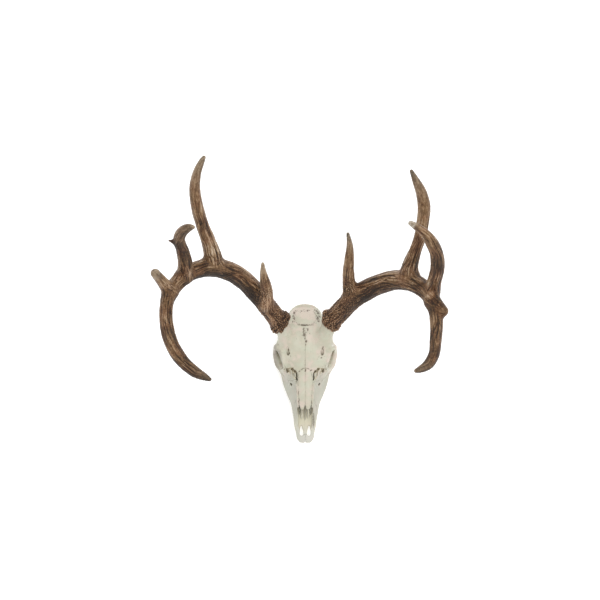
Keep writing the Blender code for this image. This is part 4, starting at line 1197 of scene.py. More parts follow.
def bone_material():
    m = Nodes("bone")
    at = m.node("ShaderNodeTexCoord").outputs["Object"]
    broad = m.noise(at, 26.0, 3.0, 0.5)
    middle = m.noise(at, 95.0, 4.0, 0.6)
    fine = m.noise(at, 620.0, 3.0, 0.6)
    # Dry bone: chalky cream, warmer and greyer in patches.
    colour = m.ramp(broad, ((0.30, (0.475, 0.460, 0.362)), (0.50, (0.545, 0.530, 0.428)), (0.72, (0.605, 0.592, 0.500))))
    tint = m.fade(middle, 0.35, 0.70)
    colour = m.mix(m.math("MULTIPLY", tint, 0.38), colour, (0.530, 0.490, 0.365))
    colour = m.mix(m.math("MULTIPLY", m.fade(fine, 0.52, 0.72), 0.20), colour, (0.40, 0.35, 0.25))
    blush = m.noise(at, 48.0, 3.0, 0.55)
    blush = m.math("ADD", blush, m.math("MULTIPLY", m.attribute("dome"), 0.10))
    colour = m.mix(m.fade(blush, 0.48, 0.68, 0.0, 0.80), colour, (0.625, 0.535, 0.460))
    colour = m.mix(m.fade(blush, 0.30, 0.47, 0.55, 0.0), colour, (0.520, 0.545, 0.425))
    # The yellowed floor of the nose and mouth, in a colour lighter than the bone that is partly painted light against
    # the cavity's shade; and a brown wash in hollows, partly painted shade, darkest where the bone is most sheltered.
    colour = m.mix(m.math("MULTIPLY", m.attribute("yellowed_and_lit"), 0.85), colour, (0.740, 0.675, 0.500))
    grime_and_shade = m.math("MULTIPLY", m.attribute("hollow"), m.fade(middle, 0.15, 0.65, 0.65, 1.0))
    colour = m.mix(m.fade(grime_and_shade, 0.18, 0.85, 0.0, 0.66), colour, (0.190, 0.145, 0.085))
    # Painted shade: darker still where the bone lies deep under its surroundings.
    colour = m.mix(m.fade(m.attribute("deep"), 0.40, 1.0, 0.0, 0.50), colour, (0.260, 0.210, 0.135))
    # Painted shade: the deer's right orbit, turned away from the light, made much darker.
    colour = m.mix(m.math("MULTIPLY", m.attribute("painted_shade_orbit"), 0.80), colour, (0.225, 0.203, 0.168))
    colour = m.mix(m.math("MULTIPLY", m.attribute("thin"), 0.60), colour, (0.570, 0.575, 0.530))
    # Painted shade on the sides of the snout, where they face outwards.
    colour = m.mix(m.math("MULTIPLY", m.attribute("flank_shade"), 0.62), colour, (0.400, 0.402, 0.345))
    # Painted light: the deep inside of the deer's left orbit made paler, on the side the light comes from.
    colour = m.mix(m.math("MULTIPLY", m.attribute("painted_light_orbit"), 0.80), colour, (0.760, 0.735, 0.690))
    # Sutures: a fine wandering line where two bones meet.
    wander = m.math("MULTIPLY_ADD", m.noise(at, 300.0, 2.0, 0.6), 5.2, -2.6)
    wander2 = m.math("MULTIPLY_ADD", m.noise(at, 820.0, 1.0, 0.5), 2.0, -1.0)
    rough_shift = m.math("ADD", wander, wander2)
    calm_shift = m.math("MULTIPLY", rough_shift, 0.38)
    line = None
    for key, wide, shift in (("seam_mid", 0.42, calm_shift), ("seam_zig", 0.62, rough_shift), ("seam_top", 0.46, rough_shift), ("seam_side", 0.40, rough_shift)):
        d = m.math("ABSOLUTE", m.math("ADD", m.attribute(key), shift))
        one = m.fade(d, 0.10, wide, 1.0, 0.0)
        line = one if line is None else m.math("MAXIMUM", line, one)
    # A suture shows strongly in some places and closes in others.
    line = m.math("MULTIPLY", line, m.fade(m.noise(at, 62.0, 2.0, 0.5), 0.38, 0.60, 0.22, 1.0))
    colour = m.mix(m.math("MULTIPLY", line, 0.90), colour, (0.105, 0.072, 0.038))
    # Pores and nicks.
    pores = m.fade(m.voronoi(at, 520.0), 0.10, 0.26, 1.0, 0.0)
    where = m.math("MAXIMUM", m.fade(m.noise(at, 70.0, 2.0), 0.44, 0.60), m.math("MULTIPLY", m.attribute("dome"), 0.55))
    pores = m.math("MULTIPLY", pores, m.math("MULTIPLY", m.attribute("porous"), where))
    colour = m.mix(m.math("MULTIPLY", pores, 0.66), colour, (0.150, 0.105, 0.056))
    colour = m.mix(m.math("MULTIPLY", m.attribute("nick"), m.fade(m.noise(at, 420.0, 2.0, 0.6), 0.34, 0.58, 0.58, 0.98)), colour, (0.085, 0.056, 0.031))
    m.put(m.shader.inputs["Base Color"], colour)
    m.put(m.shader.inputs["Roughness"], m.fade(middle, 0.30, 0.75, 0.34, 0.52))
    m.shader.inputs["Specular IOR Level"].default_value = 0.42
    relief = m.math("MULTIPLY_ADD", fine, 0.35, m.math("MULTIPLY", m.noise(at, 190.0, 3.0), 0.8))
    relief = m.math("SUBTRACT", relief, m.math("MULTIPLY", line, 0.9))
    relief = m.math("SUBTRACT", relief, m.math("MULTIPLY", pores, 0.8))
    m.put(m.shader.inputs["Normal"], m.bump(relief, 0.00035, 0.75))
    return m.material


def tooth_material():
    m = Nodes("tooth")
    at = m.node("ShaderNodeTexCoord").outputs["Object"]
    broad = m.noise(at, 120.0, 3.0)
    streak = m.noise(m.place(at, (1.0, 1.0, 0.18)), 700.0, 3.0, 0.6)
    colour = m.ramp(broad, ((0.3, (0.52, 0.46, 0.32)), (0.55, (0.60, 0.56, 0.44)), (0.75, (0.67, 0.64, 0.54))))
    colour = m.mix(m.fade(streak, 0.45, 0.75, 0.0, 0.35), colour, (0.42, 0.33, 0.19))
    colour = m.mix(m.attribute("dentine"), colour, (0.36, 0.235, 0.115))
    # Painted shade: darker in the crevices of the crowns, where they are sheltered.
    colour = m.mix(m.fade(m.attribute("hollow"), 0.30, 1.0, 0.0, 0.72), colour, (0.135, 0.090, 0.050))
    m.put(m.shader.inputs["Base Color"], colour)
    m.put(m.shader.inputs["Roughness"], m.fade(streak, 0.3, 0.8, 0.20, 0.42))
    m.put(m.shader.inputs["Normal"], m.bump(streak, 0.0002, 0.6))
    return m.material


def antler_material():
    m = Nodes("antler")
    at = m.node("ShaderNodeTexCoord").outputs["Object"]
    grain = m.attribute("grain", vector=True)
    relief = m.attribute("relief")
    tip = m.attribute("tip")
    foot = m.attribute("foot")
    alone = m.attribute("alone")
    broad = m.noise(at, 21.0, 3.0, 0.55)
    warm = m.noise(at, 34.0, 3.0, 0.6)
    along = m.math("MULTIPLY", m.math("SUBTRACT", m.noise(grain, 0.55, 4.0, 0.65), 0.5), alone)
    thread = m.math("MULTIPLY", m.math("SUBTRACT", m.noise(grain, 1.9, 3.0, 0.65), 0.5), alone)
    speck = m.noise(at, 800.0, 3.0, 0.65)
    mottle = m.noise(at, 210.0, 4.0, 0.62)
    streak = m.math("MULTIPLY", m.math("SUBTRACT", m.noise(grain, 0.24, 3.0, 0.6), 0.5), m.math("MULTIPLY_ADD", alone, 0.8, 0.2))
    height = m.math("ADD", m.math("MULTIPLY", relief, 0.95), m.math("MULTIPLY", along, 1.7))
    height = m.math("ADD", height, m.math("MULTIPLY", streak, 4.6))
    height = m.math("ADD", height, m.math("MULTIPLY", thread, 1.4))
    height = m.math("ADD", height, m.math("MULTIPLY_ADD", mottle, 1.5, -0.75))
    height = m.math("ADD", height, m.math("MULTIPLY_ADD", broad, 2.4, -1.2))
    height = m.math("ADD", height, m.math("MULTIPLY", m.attribute("tone"), 1.6))
    tone = m.fade(height, -1.55, 1.95)
    body_colour = m.ramp(tone, (
        (0.00, (0.014, 0.007, 0.003)),
        (0.22, (0.044, 0.022, 0.009)),
        (0.44, (0.118, 0.062, 0.026)),
        (0.64, (0.215, 0.127, 0.062)),
        (0.82, (0.350, 0.235, 0.138)),
        (1.00, (0.540, 0.430, 0.315)),
    ))
    # Redder where the velvet's blood and bark have stained it.
    red = m.math("MULTIPLY", m.fade(warm, 0.44, 0.64), m.math("MULTIPLY_ADD", foot, 0.35, 0.50))
    body_colour = m.mix(red, body_colour, m.ramp(tone, (
        (0.00, (0.020, 0.007, 0.003)),
        (0.30, (0.078, 0.027, 0.010)),
        (0.60, (0.205, 0.095, 0.043)),
        (1.00, (0.440, 0.285, 0.185)),
    )))
    foot_colour = m.ramp(tone, (
        (0.00, (0.014, 0.006, 0.003)),
        (0.32, (0.064, 0.028, 0.011)),
        (0.60, (0.160, 0.078, 0.034)),
        (1.00, (0.400, 0.240, 0.135)),
    ))
    tip_colour = m.ramp(tone, (
        (0.00, (0.050, 0.032, 0.018)),
        (0.45, (0.160, 0.110, 0.067)),
        (1.00, (0.400, 0.320, 0.225)),
    ))
    colour = m.mix(m.math("MULTIPLY", foot, 0.80), body_colour, foot_colour)
    colour = m.mix(m.math("MULTIPLY", tip, 0.85), colour, tip_colour)
    pearl = m.math("MULTIPLY", m.attribute("pearl"), m.fade(mottle, 0.34, 0.62, 0.10, 1.0))
    colour = m.mix(m.math("MULTIPLY", pearl, 0.26), colour, (0.300, 0.180, 0.100))
    colour = m.mix(m.fade(m.attribute("end"), 0.0, 1.0, 0.0, 0.92), colour, (0.520, 0.480, 0.400))
    colour = m.mix(m.fade(m.attribute("end"), -1.0, 0.0, 0.92, 0.0), colour, (0.040, 0.036, 0.026))
    # Near black in the crevices: partly the grooves' own stain, partly painted shade where the branches shelter a
    # place.
    colour = m.mix(m.fade(m.attribute("hollow"), 0.12, 0.85, 0.0, 0.78), colour, (0.016, 0.008, 0.003))
    colour = m.mix(m.fade(speck, 0.56, 0.76, 0.0, 0.30), colour, (0.024, 0.012, 0.005))
    m.put(m.shader.inputs["Base Color"], colour)
    rough = m.fade(tone, 0.1, 0.9, 0.56, 0.34)
    m.put(m.shader.inputs["Roughness"], m.math("MULTIPLY_ADD", tip, -0.06, rough))
    m.shader.inputs["Specular IOR Level"].default_value = 0.28
    fine = m.math("ADD", m.math("MULTIPLY", along, 0.9), m.math("MULTIPLY_ADD", thread, 0.9, m.math("MULTIPLY_ADD", speck, 0.30, m.math("MULTIPLY", mottle, 0.5))))
    m.put(m.shader.inputs["Normal"], m.bump(fine, 0.0007, 0.85))
    return m.material


# ---------------------------------------------------------------------------------------------------------------
# The skull
# ---------------------------------------------------------------------------------------------------------------

def line_distance(u, v, points):
    """Signed distance to an open polyline: the sign says on which side of it a place lies."""
    pts = np.array(points, float)
    best = np.full(len(u), 1e9)
    sign = np.ones(len(u))
    for (x0, y0), (x1, y1) in zip(pts, pts[1:]):
        ex, ey = x1 - x0, y1 - y0
        wx, wy = u - x0, v - y0
        t = np.clip((wx * ex + wy * ey) / (ex * ex + ey * ey), 0, 1)
        d = np.hypot(wx - t * ex, wy - t * ey)
        nearer = d < best
        best = np.where(nearer, d, best)
        sign = np.where(nearer, np.sign(ex * wy - ey * wx), sign)
    return best * sign


def least(a, b):
    return np.where(np.abs(a) < np.abs(b), a, b)


ZIG_SEAM = ((0, 225.4), (7, 225.2), (12.5, 226.4), (17.4, 229.6), (20.6, 234.6), (22.6, 241.5), (22.0, 250), (19.0, 257), (15.0, 262))  # x, y from above
TOP_SEAMS = (
    ((0, 140.0), (5, 139.2), (9, 137.0), (12.4, 132.5), (14.4, 124), (13.9, 110), (13.4, 90), (13.3, 74), (12.2, 67)),
    ((17.0, 115), (16.0, 108), (18.4, 100), (17.0, 93)),
    ((38, 141.5), (41, 145), (45, 150)),
)
SIDE_SEAMS = (  # y, z from the side
    ((41, 10), (50, 22), (61, 33), (72, 46), (82, 60)),
    ((118, 74), (121, 64), (128, 57), (137, 54), (145, 57)),
    ((124, 87), (133, 84), (141, 86), (147, 91)),
    ((137, 54), (134, 47), (140, 40), (152, 36)),
    ((172, 50), (181, 55), (190, 59), (199, 63)),
    ((178, 44), (190, 58), (200, 68), (208, 84), (216, 98)),
    ((205, 58), (216, 68), (232, 72), (246, 66), (255, 58)),
    ((250, 34), (255, 46), (258, 58), (262, 70), (268, 80)),
    ((44, 190), (50, 193)),
)
PALATE_SEAMS = (  # x, y from below
    ((0, 143), (6, 142), (12, 144), (18, 150)),
    ((2, 48), (8, 45), (14, 40)),
)
NICKS = (  # x, y, length along y, width, how dark, how deep
    (-3.0, 215.0, 12.0, 3.8, 1.0, 0.6), (5.4, 214.6, 8.0, 3.6, 0.95, 0.5), (-1.8, 203.8, 9.0, 7.0, 0.95, 0.4), (2.4, 191.6, 7.0, 4.0, 1.0, 0.5),
    (8.6, 207.0, 3.0, 1.8, 0.7, 0.3), (-7.0, 258.6, 4.6, 3.6, 0.85, 0.4), (-2.8, 261.6, 3.6, 3.0, 0.7, 0.3), (5.0, 259.6, 6.0, 4.0, 0.95, 0.5), (-10.0, 255.0, 3.6, 2.6, 0.7, 0.3),
    (0.4, 135.6, 7.0, 2.8, 1.0, 0.7), (-11.4, 134.2, 2.6, 3.6, 0.9, 0.4), (-7.0, 137.2, 2.4, 3.4, 0.85, 0.3), (6.4, 138.6, 2.4, 3.6, 0.85, 0.3), (11.6, 136.0, 4.0, 4.4, 1.0, 0.6),
    (27.0, 256.6, 12.0, 7.0, 1.0, 1.2), (23.4, 261.0, 7.0, 5.0, 1.0, 0.9), (25.4, 242.6, 11.0, 5.4, 1.0, 0.9), (29.6, 247.6, 8.0, 4.2, 0.95, 0.7), (27.2, 235.6, 7.0, 4.4, 0.9, 0.6), (19.4, 262.4, 5.0, 3.8, 0.85, 0.5),
    (-22.2, 256.0, 10.0, 4.2, 0.95, 0.8), (-24.2, 247.6, 7.0, 3.8, 0.85, 0.6), (-22.0, 241.0, 8.0, 4.2, 0.95, 0.7), (-25.0, 234.4, 6.0, 3.4, 0.85, 0.5), (-19.4, 260.6, 4.0, 3.0, 0.75, 0.4),
    (-33.6, 175.4, 7.0, 2.6, 1.0, 0.5), (-31.6, 168.4, 6.0, 1.8, 0.95, 0.4), (-29.6, 162.6, 4.4, 1.6, 0.85, 0.3), (35.4, 177.6, 10.0, 2.3, 1.0, 0.6), (17.0, 46.0, 32.0, 5.4, 0.72, 0.1),
    (-17.0, 196.0, 2.0, 1.0, 0.7, 0.3), (21.0, 186.0, 1.8, 0.9, 0.7, 0.3), (-24.0, 150.0, 2.2, 0.8, 0.6, 0.3), (12.0, 171.0, 2.0, 0.9, 0.6, 0.3),
    (32.6, 159.8, 3.6, 3.4, 1.0, 2.0), (24.4, 157.0, 2.0, 1.4, 0.7, 0.4), (39.0, 163.0, 2.0, 1.6, 0.6, 0.4),
    (-1.0, 225.4, 5.2, 23.0, 1.0, 0.8), (-12.6, 226.0, 2.4, 10.0, 0.8, 0.3), (13.6, 225.8, 2.4, 9.0, 0.85, 0.3),
    (-3.6, 209.6, 4.4, 3.0, 0.9, 0.4), (3.0, 217.8, 3.4, 2.0, 0.8, 0.3), (-0.6, 197.4, 5.6, 2.6, 0.85, 0.4), (1.2, 184.6, 4.6, 2.0, 0.8, 0.4), (-5.6, 203.6, 3.0, 2.0, 0.6, 0.2),
    (-12.4, 79.0, 13.0, 2.2, 0.8, 0.4), (-13.6, 92.0, 8.0, 1.6, 0.7, 0.3), (13.2, 76.0, 8.0, 1.8, 0.6, 0.3), (-24.4, 131.0, 5.0, 1.4, 0.4, 0.2),
)
# Clusters of small pits: x, y, length along y, width, how dark, how deep.
SPECKLES = (
    (25.0, 247.0, 36.0, 11.0, 1.00, 0.9), (-23.0, 247.0, 30.0, 10.0, 1.00, 0.8), (20.5, 233.0, 9.0, 7.0, 0.80, 0.4), (-22.0, 234.0, 9.0, 7.0, 0.75, 0.4),
    (4.0, 259.0, 7.0, 36.0, 0.80, 0.3), (0.0, 208.0, 26.0, 9.0, 0.60, 0.2), (27.0, 162.0, 16.0, 12.0, 0.40, 0.2), (-30.0, 152.0, 12.0, 10.0, 0.40, 0.2),
    (-31.0, 132.0, 26.0, 8.0, 0.45, 0.2), (33.0, 128.0, 26.0, 8.0, 0.50, 0.2), (0.0, 160.0, 40.0, 3.0, 0.50, 0.2), (-13.6, 100.0, 44.0, 3.6, 0.60, 0.2), (13.6, 96.0, 34.0, 3.6, 0.50, 0.2),
)


def make_skull(material):
    low, high = (0.0, -4.0, -4.0), (70.0, 288.0, 152.0)
    fine, low, rough, block = sampled(skull_field, low, high, STEP_SKULL)
    full = np.concatenate([fine[:0:-1], fine])
    start = low.copy()
    start[0] = -STEP_SKULL * (fine.shape[0] - 1)
    verts, quads = surface(full, start, STEP_SKULL)
    verts, quads = whole_only(verts, quads)
    verts = onto(skull_field, verts)
    verts = evened(verts, quads, 1, 0.35)
    normals = normals_of(verts, quads)
    x, y, z = np.abs(verts[:, 0]), verts[:, 1], verts[:, 2]
    near, far, wide = shelter(skull_field, verts, normals, (2.2, 6.0, 11.0))
    up, out = normals[:, 2], np.abs(normals[:, 0])

    # Sutures, as signed distances in millimetres; 10 and more where there is none.
    top = (up > 0.15) & (z > body_top(y) - 26)
    under = (up < -0.2) & (z < 24)
    mid = verts[:, 0].copy()
    on_mid = (top & (y > 60) & (y < 224.5)) | (under & (y > 14) & (y < 178))
    mid = np.where(on_mid, mid, 10.0)
    wander = 1.5 * noise(verts / 9.0, 61) + 0.8 * noise(verts / 3.4, 62)
    wander2 = 1.2 * noise(verts / 8.0, 63) + 0.7 * noise(verts / 3.1, 64)
    seam_zig = np.where(top, line_distance(x + wander * ramp(x, 3, 12), y + wander2, ZIG_SEAM), 10.0)
    seam_top = np.full(len(verts), 30.0)
    for pts in TOP_SEAMS:
        seam_top = least(line_distance(x, y, pts), seam_top)
    seam_top = np.where(top, seam_top, 10.0)
    below = np.full(len(verts), 30.0)
    for pts in PALATE_SEAMS:
        below = least(line_distance(x, y, pts), below)
    seam_top = np.where(under, below, seam_top)
    seam_side = np.full(len(verts), 30.0)
    for pts in SIDE_SEAMS:
        seam_side = least(line_distance(y, z, pts), seam_side)
    seam_side = np.where((out > 0.30) & (x > 10), seam_side, 10.0)

    nick = np.zeros(len(verts))
    dent = np.zeros(len(verts))
    frayed = 0.38 * noise(verts / 1.9, 74)
    marked = (up > -0.05) & (z > body_top(y) - 40)
    for nx, ny, length, width, dark, deep in NICKS:
        d = np.hypot((verts[:, 0] - nx + 0.4 * np.sin(y)) / (width * 0.55), (y - ny) / (length * 0.5)) + frayed
        here = np.where(marked, 1 - ramp(d, 0.45, 1.10), 0)
        nick = np.maximum(nick, dark * here)
        dent = np.maximum(dent, deep * here)
    # A few pits, each about as wide as a pin's head, in the places where the bone is pitted.
    first, _, own = cells(verts / np.array((3.0, 4.2, 3.0)) + 0.35 * noise(verts / 4.0, 71)[:, None], 73)
    pit = (1 - ramp(first, 0.20, 0.52)) * ramp(own, 0.30, 0.50)
    for nx, ny, length, width, dark, deep in SPECKLES:
        d = np.hypot((verts[:, 0] - nx) / (width * 0.5), (y - ny) / (length * 0.5))
        here = np.where(marked, 1 - ramp(d, 0.55, 1.2), 0) * pit
        nick = np.maximum(nick, dark * here)
        dent = np.maximum(dent, deep * here)

    # The surface is never quite even: slow swellings that differ from side to side, the vessels' fine furrows on the
    # forehead and round the pedicles, and a granular grain.
    v = verts
    slow = fractal(v / 42.0, 3, 2)
    furrow = 1 - np.abs(noise(v / np.array((7.0, 17.0, 9.0)), 11)) * 5.5
    furrow = np.clip(furrow, 0, 1) * ramp(y, 150, 185) * ramp(up, 0.1, 0.6)
    grain = fractal(v / 5.0, 23, 3)
    nuchal = ramp(y, 248, 266) * fractal(v / 3.4, 31, 3)
    rough_pedicle = ramp(z, 112, 124) * fractal(v / np.array((2.6, 2.6, 6.0)), 41, 2)
    move = 0.55 * slow - 0.22 * furrow + 0.16 * grain + 0.5 * nuchal + 0.55 * rough_pedicle
    for seam, depth in ((mid, 0.30), (seam_zig, 0.45), (seam_top, 0.34), (seam_side, 0.28)):
        move -= depth * np.exp(-((seam / 0.8) ** 2))
    # The braincase stands up a little behind the frontals, past a shallow fold.
    fold = 1 - 0.85 * ramp(y, 232, 248)
    move -= 1.15 * fold * np.exp(-(((seam_zig - 1.0) / 3.4) ** 2)) * (0.7 + 0.3 * slow)
    move -= dent * (0.55 + 0.45 * noise(v / 2.6, 51))
    rest = ramp(z, 0.6, 3.0)
    verts = verts + normals * (move * rest)[:, None]

    inside_nose = (y > 20) & (y < 118) & (x < upper_half(y) + 8) & (z < np.where(y < 62, 200, nasal_crown(y) - 3)) & (z > 12) & (wide > 0.25)
    # The yellowed floor of the nose and the undersides, in a colour lighter than the bone: partly its stain, partly
    # painted light against the shade of the cavity.
    yellowed_and_lit = 0.62 * ramp(y, 17, 24) * ramp(118 - y, 0, 8) * ramp(upper_half(y) + 1.0 - x, 0, 3.0) * ramp(body_top(y) - 1.5 - z, 0, 4.0) * (z > 12) * np.where(y < 62, 1.0, z < nasal_crown(y) - 3)
    yellowed_and_lit = np.maximum(yellowed_and_lit, ramp(-up, 0.2, 0.8) * np.where(z < 30, 0.35, 0.15))
    porous = np.clip(0.35 + 0.65 * ramp(z, 104, 118) + 0.6 * ramp(y, 222, 232) + 0.5 * ramp(-up, 0, 0.7), 0, 1)
    dome = ramp(y, 224, 230) * ramp(up, 0.1, 0.4) * ramp(26.0 - x, 0, 6)
    yellowed_and_lit = yellowed_and_lit * (1 - dome)
    # How sheltered each place is: the mask of the brown wash and of the painted shade in hollows.
    hollow = np.clip(0.75 * near + 0.45 * far, 0, 1)
    # Less painted shade and stain on the smooth floor of the nose, and the thin bone deep in the gap before the orbit
    # is painted paler, as painted light.
    hollow = hollow * np.where(inside_nose, 0.14 + 0.30 * ramp(y, 66, 100), 1.0)
    wide = wide * np.where(inside_nose, 0.08 + 0.40 * ramp(y, 66, 100), 1.0)
    gap = (x > 14) & (x < 38) & (y > 112) & (y < 143) & (z > 66)
    yellowed_and_lit = np.maximum(yellowed_and_lit, np.where(gap, ramp(wide, 0.25, 0.6), 0.0))
    # Painted shade and painted light round the orbits: less painted shade in both, least in the deer's left one, on the
    # side the light comes from.
    eye = np.sqrt(((x - 57.0) / 17.0) ** 2 + ((y - 167.0) / 29.0) ** 2 + ((z - 74.0) / 30.0) ** 2)
    eye = (1 - ramp(eye, 0.84, 1.18)) * ramp(x, 43.5, 47.5)
    left_side = ramp(verts[:, 0], -2, 2)
    hollow = hollow * (1 - eye * (0.35 + 0.62 * left_side))
    wide = wide * (1 - eye * (0.20 + 0.78 * left_side))
    # Painted shade in and round the deer's right orbit, most on what faces forwards and sideways, and on its outer rim.
    painted_shade_orbit = eye * (1 - left_side) * (0.75 + 0.25 * noise(verts / 6.0, 66)) * np.maximum(ramp(-normals[:, 1] + 0.35 * (1 - up), -0.15, 0.45), 0.95 * ramp(x, 56.0, 60.0))
    # Painted shade on the outward-facing sides of the snout.
    flank_shade = ramp(out, 0.22, 0.62) * ramp(150.0 - y, 0, 30) * ramp(y, 30, 60)
    # The paler bone deep inside the deer's left orbit is painted light.
    ob = make_object("skull_bone", verts, quads, {
        "painted_shade_orbit": np.clip(painted_shade_orbit, 0, 1), "painted_light_orbit": eye * left_side * ramp(wide + far, 0.1, 0.6), "flank_shade": flank_shade, "thin": ramp(46.0 - y, 0.0, 30.0) * ramp(up, -0.5, 0.2), "seam_mid": mid, "seam_zig": seam_zig, "seam_top": seam_top, "seam_side": seam_side, "hollow": hollow, "deep": wide,
        "yellowed_and_lit": yellowed_and_lit, "porous": porous, "nick": nick, "dome": dome,
    }, material)
    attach(ob, "root")
    return ob


# ---------------------------------------------------------------------------------------------------------------
# The cheek teeth
# ---------------------------------------------------------------------------------------------------------------

def teeth_field(p):
    x, y, z = np.abs(p[:, 0]), p[:, 1], p[:, 2]
    out = np.full(len(p), 1e3, F32)
    for ty, tx, length, width in TEETH:
        i = np.flatnonzero((np.abs(y - ty) < length / 2 + 6) & (np.abs(x - tx) < width / 2 + 6))
        if not len(i):
            continue
        u, v, w = y[i] - ty, x[i] - tx, z[i]
        lobes = (-0.25, 0.25) if length > 12 else (0.0,)
        long_ = length / (2 * len(lobes))
        taper = 1 - 0.020 * np.clip(w - 1.5, 0, 12)
        f = np.full(len(i), 1e3, F32)
        pits = np.full(len(i), 1e3, F32)
        valley = np.full(len(i), 9.0, F32)
        for s in lobes:
            a, b = (long_ + 0.22) * taper, (width / 2) * (1 - 0.010 * np.clip(w, 0, 12))
            cu = u - s * length
            # Rounded on the tongue's side, blunter on the cheek's.
            e = np.where(v > 0, 2.8, 2.1)
            r = (np.abs(cu / a) ** e + np.abs(v / b) ** e) ** (1 / e)
            f = smin(f, (r - 1) * np.minimum(a, b), 0.5)
            valley = np.minimum(valley, np.abs(cu / a))
            # Two crescents, one inside each half of the lobe.
            for centre, bend in ((0.34, 1), (-0.42, 1)):
                q = np.hypot(cu / 1.05, (v - centre * b) + 0.55 * bend * b * (cu / a) ** 2 * 0.9)
                pits = np.minimum(pits, np.abs(v - centre * b + 0.42 * b * (cu / a) ** 2) - 0.75 + 0.9 * np.maximum(np.abs(cu / a) - 0.55, 0) * 4 + 0 * q)
        # The upright ribs of the cheek side.
        for s in (-0.46, 0.0, 0.46) if length > 12 else (-0.40, 0.40):
            f = smin(f, np.hypot(u - s * length, v - width / 2 * 0.92) - 1.15, 0.9)
        crown = smax(f, w - 20.0, 3.0)
        # The edge rises between the cusps, and the dentine is worn lower than the rim.
        crown = smax(crown, -(w - 0.02 - 1.7 * np.clip(valley, 0, 1.2) ** 1.7 - 0.25 * np.clip(-f - 0.9, 0, 2.0)), 0.35)
        crown = smax(crown, -smax(pits, w - 2.6, 0.5), 0.4)
        out[i] = smin(out[i], crown, 0.25)
    return out


def make_teeth(material):
    fine, low, rough, block = sampled(teeth_field, (16.0, 88.0, -2.4), (41.0, 175.0, 22.0), STEP_TEETH)
    made_v, made_q = [], []
    verts, quads = surface(fine, low, STEP_TEETH)
    normals = normals_of(verts, quads)
    # How sheltered each place is, for the painted shade in the crowns' crevices.
    near, deep = shelter(teeth_field, verts, normals, (1.4, 3.0))
    near = np.clip(0.8 * near + 0.5 * deep, 0, 1)
    dentine = ramp(-normals[:, 2], 0.6, 0.9) * (verts[:, 2] < 3.0) * ramp(-teeth_rim(verts), 0.7, 1.3)
    verts = verts + normals * (0.10 * fractal(verts / np.array((1.6, 1.6, 5.0)), 7, 2) * ramp(verts[:, 2], 0.5, 2.0))[:, None]
    count = len(verts)
    mirrored = verts * np.array((-1, 1, 1))
    both_v = np.concatenate([verts, mirrored])
    both_q = np.concatenate([quads, quads[:, ::-1] + count])
    ob = make_object("cheek_teeth", both_v, both_q, {"hollow": np.tile(near, 2), "dentine": np.tile(dentine, 2)}, material)
    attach(ob, "root")
    return ob


def teeth_rim(p):
    """How far inside the outline of its tooth a place of the chewing face lies, as a negative distance."""
    x, y = np.abs(p[:, 0]), p[:, 1]
    out = np.full(len(p), 1e3)
    for ty, tx, length, width in TEETH:
        lobes = (-0.25, 0.25) if length > 12 else (0.0,)
        long_ = length / (2 * len(lobes))
        for s in lobes:
            r = (np.abs((y - ty - s * length) / (long_ + 0.55)) ** 2.4 + np.abs((x - tx) / (width / 2)) ** 2.4) ** (1 / 2.4)
            out = np.minimum(out, (r - 1) * min(long_, width / 2))
    return out


# ---------------------------------------------------------------------------------------------------------------
# The antlers
# ---------------------------------------------------------------------------------------------------------------

def world_run(rows):
    return np.array([(*on_face(c, r, reach), radius) for c, r, reach, radius in rows])


class Branch:
    """One beam or tine: its run, its lengths, and a frame that turns with it as little as it can."""

    def __init__(self, rows, name):
        self.name = name
        self.tube = Tube(world_run(rows), 3)
        r = self.tube.rows.astype(float)
        step = np.linalg.norm(np.diff(r[:, :3], axis=0), axis=1)
        self.length = np.concatenate([[0], np.cumsum(step)])
        along = np.gradient(r[:, :3], axis=0)
        along /= np.linalg.norm(along, axis=1)[:, None]
        side = np.cross(along[0], (0.3, 0.2, 0.93))
        sides = []
        for d in along:
            side = side - d * (side @ d)
            side /= np.linalg.norm(side)
            sides.append(side.copy())
        self.along, self.sides, self.ups = along, np.array(sides), np.cross(along, np.array(sides))
        self.rows = r

    def local(self, p):
        """Distance to the surface, length along, the angle's cosine and sine, and the branch's radius there."""
        best = np.full(len(p), 1e9)
        keep = np.zeros((len(p), 5))
        for k in range(len(self.rows) - 1):
            a, b = self.rows[k], self.rows[k + 1]
            v = b[:3] - a[:3]
            t = np.clip((p - a[:3]) @ v / (v @ v), 0, 1)
            q = p - a[:3] - t[:, None] * v
            rho = np.linalg.norm(q, axis=1)
            radius = a[3] + t * (b[3] - a[3])
            d = rho - radius
            m = d < best
            side = self.sides[k] * (1 - t[:, None]) + self.sides[k + 1] * t[:, None]
            upw = self.ups[k] * (1 - t[:, None]) + self.ups[k + 1] * t[:, None]
            c, s = (q * side).sum(1), (q * upw).sum(1)
            size = np.hypot(c, s) + 1e-9
            new = np.stack([d, self.length[k] + t * (self.length[k + 1] - self.length[k]), c / size, s / size, radius], 1)
            keep[m] = new[m]
            best[m] = d[m]
        return keep


def stretched(s, near, far, start, end):
    """The length along a branch, counted in noise sizes that grow from near at the start to far at the end."""
    marks = np.arange(0.0, 900.0, 2.0)
    sizes = near + (far - near) * ramp(marks, start, end)
    return np.interp(s, marks, np.concatenate([[0], np.cumsum(2.0 / sizes)])[:-1])


def beam_dark(side, s):
    """How much darker a beam is at its foot and its outer end, at that length along it."""
    if side == "right":
        return 0.18 * (1 - ramp(s, 90, 170)) + 0.28 * ramp(s, 260, 420)
    return 0.10 * ramp(s, 260, 420)


